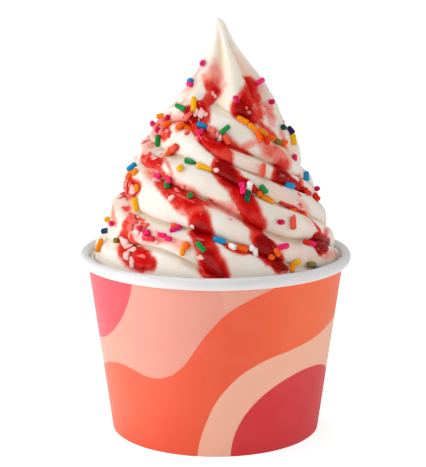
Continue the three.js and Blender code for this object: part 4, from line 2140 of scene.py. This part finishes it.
@dataclass
class Sprinkles:
    """Sugar strands scattered over the yogurt and the sauce.

    Lengths are in millimetres, or shares of a strand's length or thickness.
    """

    length: float = 5.0
    thickness: float = 2.05
    sides: int = 8
    rounding: float = 0.36
    rounding_steps: int = 2
    cap_reach: float = 0.01
    sharp_angle: float = 65.0
    flattening: float = 0.82
    sunk_to: float = 0.72
    stoutness: Range = (0.92, 1.08)
    end_on_rise: float = 0.8
    end_on_forward: float = 0.6
    spots: dict[Sugar, tuple[Spot, ...]] = field(default_factory=lambda: SPRINKLE_SPOTS)
    scattered: int = 130
    around_angles: Range = (-20.0, 200.0)
    around_from: float = 68.0
    around_rise: float = 66.0
    around_crowding: float = 1.15
    around_lengths: Range = (0.6, 1.15)
    steepest: float = -0.15
    hidden_reach: float = 0.6
    seed: int = 7

    def strand(self) -> tuple[Array, list[tuple[int, ...]]]:
        """Model one strand along X, with rounded ends.

        Returns:
            Its points, in metres, and its faces.
        """
        clear_selection()
        bpy.ops.mesh.primitive_cylinder_add(
            vertices=self.sides,
            radius=self.thickness / 2 * MM,
            depth=self.length * MM,
            rotation=(0, math.pi / 2, 0),
        )
        pattern = newest("strand_pattern")
        bpy.ops.object.transform_apply(location=True, rotation=True, scale=True)
        with editing(pattern):
            bpy.ops.mesh.select_all(action="DESELECT")
        end = (self.length / 2 - self.cap_reach) * MM
        for edge in pattern.data.edges:
            edge.select = all(abs(pattern.data.vertices[v].co.x) > end for v in edge.vertices)
        with editing(pattern):
            bpy.ops.mesh.select_mode(type="EDGE")
            bpy.ops.mesh.bevel(
                offset=self.thickness * self.rounding * MM,
                segments=self.rounding_steps,
                affect="EDGES",
            )
            bpy.ops.mesh.select_mode(type="VERT")
        points = points_of(pattern.data)
        faces = [tuple(face.vertices) for face in pattern.data.polygons]
        bpy.data.objects.remove(pattern, do_unlink=True)
        return points, faces

    def placed(self, hit: Hit, along: Vector, length: float, chance: random.Random) -> Matrix:
        """Lay a strand on the surface.

        Args:
            hit: The place and the way it faces.
            along: The direction that the strand should point, before it lies on the surface.
            length: The strand's length in millimetres.
            chance: Makes each strand a little different.

        Returns:
            The strand's placing.
        """
        place, facing = hit
        x = (along - facing * along.dot(facing) * self.flattening).normalized()
        y = facing.cross(x).normalized()
        z = x.cross(y)
        turn = Matrix((x, y, z)).transposed().to_4x4()
        width, depth = chance.uniform(*self.stoutness), chance.uniform(*self.stoutness)
        size = Matrix.Diagonal((length / self.length, width, depth, 1))
        lift = facing * self.thickness / 2 * MM * self.sunk_to
        return Matrix.Translation(place + lift) @ turn @ size

    def front(self, probe: Probe, chance: random.Random) -> dict[Sugar, list[Matrix]]:
        """Place the strands that lie at named spots.

        Args:
            probe: Finds the places.
            chance: Makes each strand a little different.

        Returns:
            The placings of each colour.
        """
        right, up, ahead = probe.camera.axes()
        laid: dict[Sugar, list[Matrix]] = {sugar: [] for sugar in self.spots}
        for sugar, spots in self.spots.items():
            for across, down, tilt, length in spots:
                hit = probe.seen(across, down)
                if hit is None:
                    continue
                if tilt == END_ON:
                    along = hit[1] * self.end_on_rise + right * chance.uniform(-1, 1)
                    along = along - ahead * self.end_on_forward
                else:
                    turn = math.radians(tilt)
                    along = right * math.cos(turn) + up * math.sin(turn)
                laid[sugar].append(self.placed(hit, along, length, chance))
        return laid

    def around(self, probe: Probe, chance: random.Random, laid: dict[Sugar, list[Matrix]]) -> None:
        """Scatter more strands over the sides and the back, out of the camera's sight.

        Args:
            probe: Finds the places.
            chance: Chooses each strand's place, colour and length.
            laid: The placings of each colour, which the new ones join.
        """
        kinds = list(self.spots)
        shares = [len(self.spots[kind]) for kind in kinds]
        reach = self.length * self.hidden_reach * MM
        heights = (0, self.thickness * MM)
        corners = [Vector((x, 0, z)) for x in (-reach, 0, reach) for z in heights]
        for _ in range(self.scattered):
            angle = chance.uniform(*self.around_angles)
            height = self.around_from + self.around_rise * chance.random() ** self.around_crowding
            hit = probe.beside(angle, height * MM)
            sugar = chance.choices(kinds, shares)[0]
            along = Vector([chance.uniform(-1, 1) for _ in range(3)])
            length = chance.uniform(*self.around_lengths) * self.length
            if hit is None or hit[1].z < self.steepest:
                continue
            place = self.placed(hit, along, length, chance)
            if all(probe.hidden(place @ corner) for corner in corners):
                laid[sugar].append(place)

    def build(self, probe: Probe) -> list[Piece]:
        """Make one joined piece for each colour.

        Args:
            probe: Finds the places.

        Returns:
            The pieces.
        """
        chance = random.Random(self.seed)
        points, faces = self.strand()
        solid = np.c_[points, np.ones(len(points))]
        laid = self.front(probe, chance)
        self.around(probe, chance, laid)
        made = []
        for sugar, places in laid.items():
            name = f"sprinkles_{sugar.name.lower()}"
            mesh = bpy.data.meshes.new(name)
            cloud = np.concatenate([(np.array(place) @ solid.T).T[:, :3] for place in places])
            shells = [
                tuple(v + copy * len(points) for v in face)
                for copy in range(len(places))
                for face in faces
            ]
            mesh.from_pydata(cloud.tolist(), [], shells)
            piece = bpy.data.objects.new(name, mesh)
            bpy.context.scene.collection.objects.link(piece)
            piece.data.materials.append(sugar.finish().material())
            smooth_under(piece, self.sharp_angle)
            made.append(piece)
        return made


@dataclass(frozen=True)
class Patch:
    """A patch of pulp in the image.

    It is given by pixels across and down, its radius in pixels, how many pieces it has, their
    least and greatest size in millimetres, and how ripe they are.
    """

    across: float
    down: float
    radius: float
    pieces: int
    least: float
    greatest: float
    ripe: float


@dataclass
class FruitPulp:
    """Small pieces of strawberry in the sauce, some of them pale and some ripe red. A few pale
    ones are painted highlights on the sauce.

    Heights and sizes are in millimetres, and the other ranges are shares of a piece's size.
    """

    # The pale patches at (197, 113), (203, 113) and (199, 121) are partly pale pulp and partly
    # painted highlights on the sauce; the one at (154, 157) is a painted highlight.
    patches: tuple[Patch, ...] = (
        Patch(197, 113, 3, 3, 1.6, 2.4, 0.06), Patch(203, 113, 4, 5, 1.6, 2.4, 0.08),
        Patch(199, 121, 1, 1, 1.4, 1.4, 0.1), Patch(188, 118, 2, 2, 3, 3.4, 0.95),
        Patch(162, 127, 8, 9, 1.4, 2.6, 0.45), Patch(165, 134, 5, 4, 1.4, 2.4, 1.1),
        Patch(187, 128, 6, 4, 1.2, 2.2, 0.85), Patch(211, 132, 4, 4, 1.8, 2.6, 0.55),
        Patch(197, 138, 2, 2, 1.6, 2, 0.08), Patch(217, 135, 3, 3, 1.2, 2, 0.4),
        Patch(220, 138, 0.5, 1, 2, 2.2, 0.1), Patch(183, 115, 0.5, 1, 2.4, 2.6, 0.12),
        Patch(151, 162, 7, 4, 1.6, 2.8, 0.8), Patch(154, 157, 1.5, 2, 1.4, 1.8, 0.05),
        Patch(128, 182, 5, 4, 1.8, 2.8, 0.5), Patch(133, 189, 2, 2, 2, 2.6, 0.1),
        Patch(124, 190, 4, 3, 1.2, 2, 0.8), Patch(160, 178, 7, 5, 1.2, 2, 0.5),
        Patch(157, 181, 1, 1, 2.6, 2.8, 0.08), Patch(171, 196, 2, 2, 1.8, 2.4, 0.1),
        Patch(177, 187, 6, 4, 1.2, 2, 0.55), Patch(125, 213, 1.5, 2, 1.8, 2.2, 0.08),
        Patch(134, 217, 5, 4, 0.9, 1.6, 0.2), Patch(131, 222, 5, 5, 2.4, 3.6, 0.7),
        Patch(137, 231, 1, 1, 3.2, 3.4, 0.1), Patch(143, 227, 2, 2, 2.4, 2.8, 0.7),
        Patch(143, 236, 1, 1, 2.6, 2.8, 0.05), Patch(126, 243, 0.5, 1, 4.4, 4.6, 0.05),
        Patch(130, 247, 0.5, 1, 3, 3.2, 0.1), Patch(134, 250, 0.5, 1, 2.8, 3, 0.06),
        Patch(127, 256, 0.5, 1, 3.4, 3.6, 0.05), Patch(132, 261, 0.5, 1, 2.4, 2.6, 0.06),
        Patch(155, 237, 6, 3, 1.2, 2.2, 0.45), Patch(268, 113, 6, 4, 0.9, 1.6, 0.45),
        Patch(251, 112, 7, 5, 0.9, 1.8, 0.6), Patch(233, 213, 8, 7, 0.7, 1.2, 0.3),
        Patch(300, 188, 8, 5, 1, 1.8, 0.6), Patch(298, 211, 7, 4, 0.8, 1.4, 0.6),
        Patch(147, 143, 6, 5, 0.9, 1.8, 0.4), Patch(217, 170, 0, 1, 1.5, 1.5, 0),
        Patch(193, 227, 0, 1, 1.4, 1.4, 0), Patch(200, 258, 2, 2, 1.3, 1.5, 0),
        Patch(214, 94, 4, 4, 0.8, 1.1, 0.1),
    )
    patch_reach: int = 2
    ripeness_spread: float = 0.3
    scattered: int = 60
    scattered_angles: Range = (8.0, 172.0)
    scattered_heights: Range = (68.0, 126.0)
    scattered_sizes: Range = (0.8, 2.0)
    steepest: float = -0.3
    cuts: int = 6
    cut_distance: Range = (0.55, 0.95)
    cut_steepest: float = 0.3
    cut_limit: float = 1.35
    lumpiness: float = 0.4
    lump_share: float = 0.5
    lump_seed_step: float = 3.1
    lengths: Range = (1.1, 1.5)
    widths: Range = (1.0, 1.4)
    flatness: float = 0.42
    raised: float = 0.1
    seed: int = 19

    def spots(self, probe: Probe, chance: random.Random) -> list[tuple[Hit, float, float]]:
        """Choose where the pieces lie.

        Args:
            probe: Finds the places.
            chance: Spreads the pieces over each patch.

        Returns:
            For each piece, its place and the way it faces, its width and its ripeness.
        """
        found = []
        for patch in self.patches:
            for _ in range(patch.pieces):
                turn, away = chance.uniform(0, 2 * math.pi), patch.radius * chance.random() ** 0.5
                across = patch.across + away * math.cos(turn)
                hit = probe.seen(across, patch.down + away * math.sin(turn), self.patch_reach)
                size = chance.uniform(patch.least, patch.greatest) * MM
                spread = chance.uniform(-self.ripeness_spread, self.ripeness_spread)
                found.append((hit, size, patch.ripe + spread * patch.ripe))
        for _ in range(self.scattered):
            angle = chance.uniform(*self.scattered_angles)
            hit = probe.beside(angle, chance.uniform(*self.scattered_heights) * MM)
            size = chance.uniform(*self.scattered_sizes) * MM
            found.append((hit, size, chance.uniform(0.0, 1.0)))
        return [spot for spot in found if spot[0] is not None and spot[0][1].z > self.steepest]

    def build(self, probe: Probe) -> Piece:
        """Make the pieces and join them.

        Args:
            probe: Finds the places.

        Returns:
            The joined pulp.
        """
        chance = random.Random(self.seed)
        clear_selection()
        made = [
            self.piece(hit, size, ripe, index, chance)
            for index, (hit, size, ripe) in enumerate(self.spots(probe, chance))
        ]
        activate(made[0])
        for piece in made:
            piece.select_set(True)
        bpy.ops.object.join()
        pulp = newest("strawberry_pulp")
        pulp.data.materials.append(PulpFinish().material())
        bpy.ops.object.shade_smooth()
        return pulp

    def piece(
        self, hit: Hit, size: float, ripe: float, index: int, chance: random.Random
    ) -> Piece:
        """Model one uneven piece, sunk a little into the sauce.

        Args:
            hit: The place and the way it faces.
            size: Its width in metres.
            ripe: From 0, pale, to 1, red.
            index: Its number, which seeds its shape.
            chance: Gives its turn and proportions.

        Returns:
            The piece.
        """
        bpy.ops.object.select_all(action="DESELECT")
        bpy.ops.mesh.primitive_ico_sphere_add(subdivisions=2, radius=size / 2)
        lump = bpy.context.object
        points = points_of(lump.data)
        turns = np.arctan2(points[:, 1], points[:, 0])
        facets = []
        for _ in range(self.cuts):
            facing, near = chance.uniform(-math.pi, math.pi), chance.uniform(*self.cut_distance)
            facets.append(near / np.maximum(np.cos(turns - facing), self.cut_steepest))
        points[:, :2] *= np.minimum(self.cut_limit, np.min(facets, axis=0))[:, None]
        uneven = lumps(points, size * self.lump_share, index * self.lump_seed_step)
        points *= 1.0 + self.lumpiness * uneven[:, None]
        points *= np.array(
            [chance.uniform(*self.lengths), chance.uniform(*self.widths), self.flatness]
        )
        turn = hit[1].to_track_quat("Z", "Y").to_matrix()
        turn = turn @ Matrix.Rotation(chance.uniform(0, math.pi), 3, "Z")
        place = np.array(hit[0] + hit[1] * size * self.raised)
        set_points(lump.data, points @ np.array(turn).T + place)
        write_attribute(lump.data, "ripe", np.full(len(points), ripe))
        return lump


# --- The whole ---


def keep(piece: Piece, slot: str, *stands_for: str) -> None:
    """Fix a finished piece to the body and report it.

    Args:
        piece: The finished piece.
        slot: Not used.
        *stands_for: The solids that it stands for.
    """
    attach(piece, BODY)
    if stands_for:
        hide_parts(*stands_for)
    triangles = sum(len(face.vertices) - 2 for face in piece.data.polygons)
    LOG.info("%s: %d triangles", piece.name, triangles)


def main() -> None:
    """Build the studio, the cup, the yogurt and what lies on it."""
    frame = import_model()
    clear_selection()
    camera = StudioCamera()
    camera.build()
    Studio().build()

    cup = PaperCup()
    keep(cup.build(), "printed_paper", "cup_wall")
    base = frame["nodes"]["cup_base"]
    base.data.materials.clear()
    base.data.materials.append(WhitePaper().material())

    swirl = YogurtSwirl().build(cup)
    sauce = StrawberrySauce().build(swirl, camera)
    probe = Probe([swirl, sauce], camera)
    keep(swirl, "frozen_yogurt", "yogurt")
    keep(sauce, "strawberry_sauce")
    for piece in Sprinkles().build(probe):
        keep(piece, "sugar_sprinkles")
    keep(FruitPulp().build(probe), "strawberry_sauce")


if __name__ == "__main__":
    logging.basicConfig(level=logging.INFO, format="%(name)s: %(message)s")
    main()
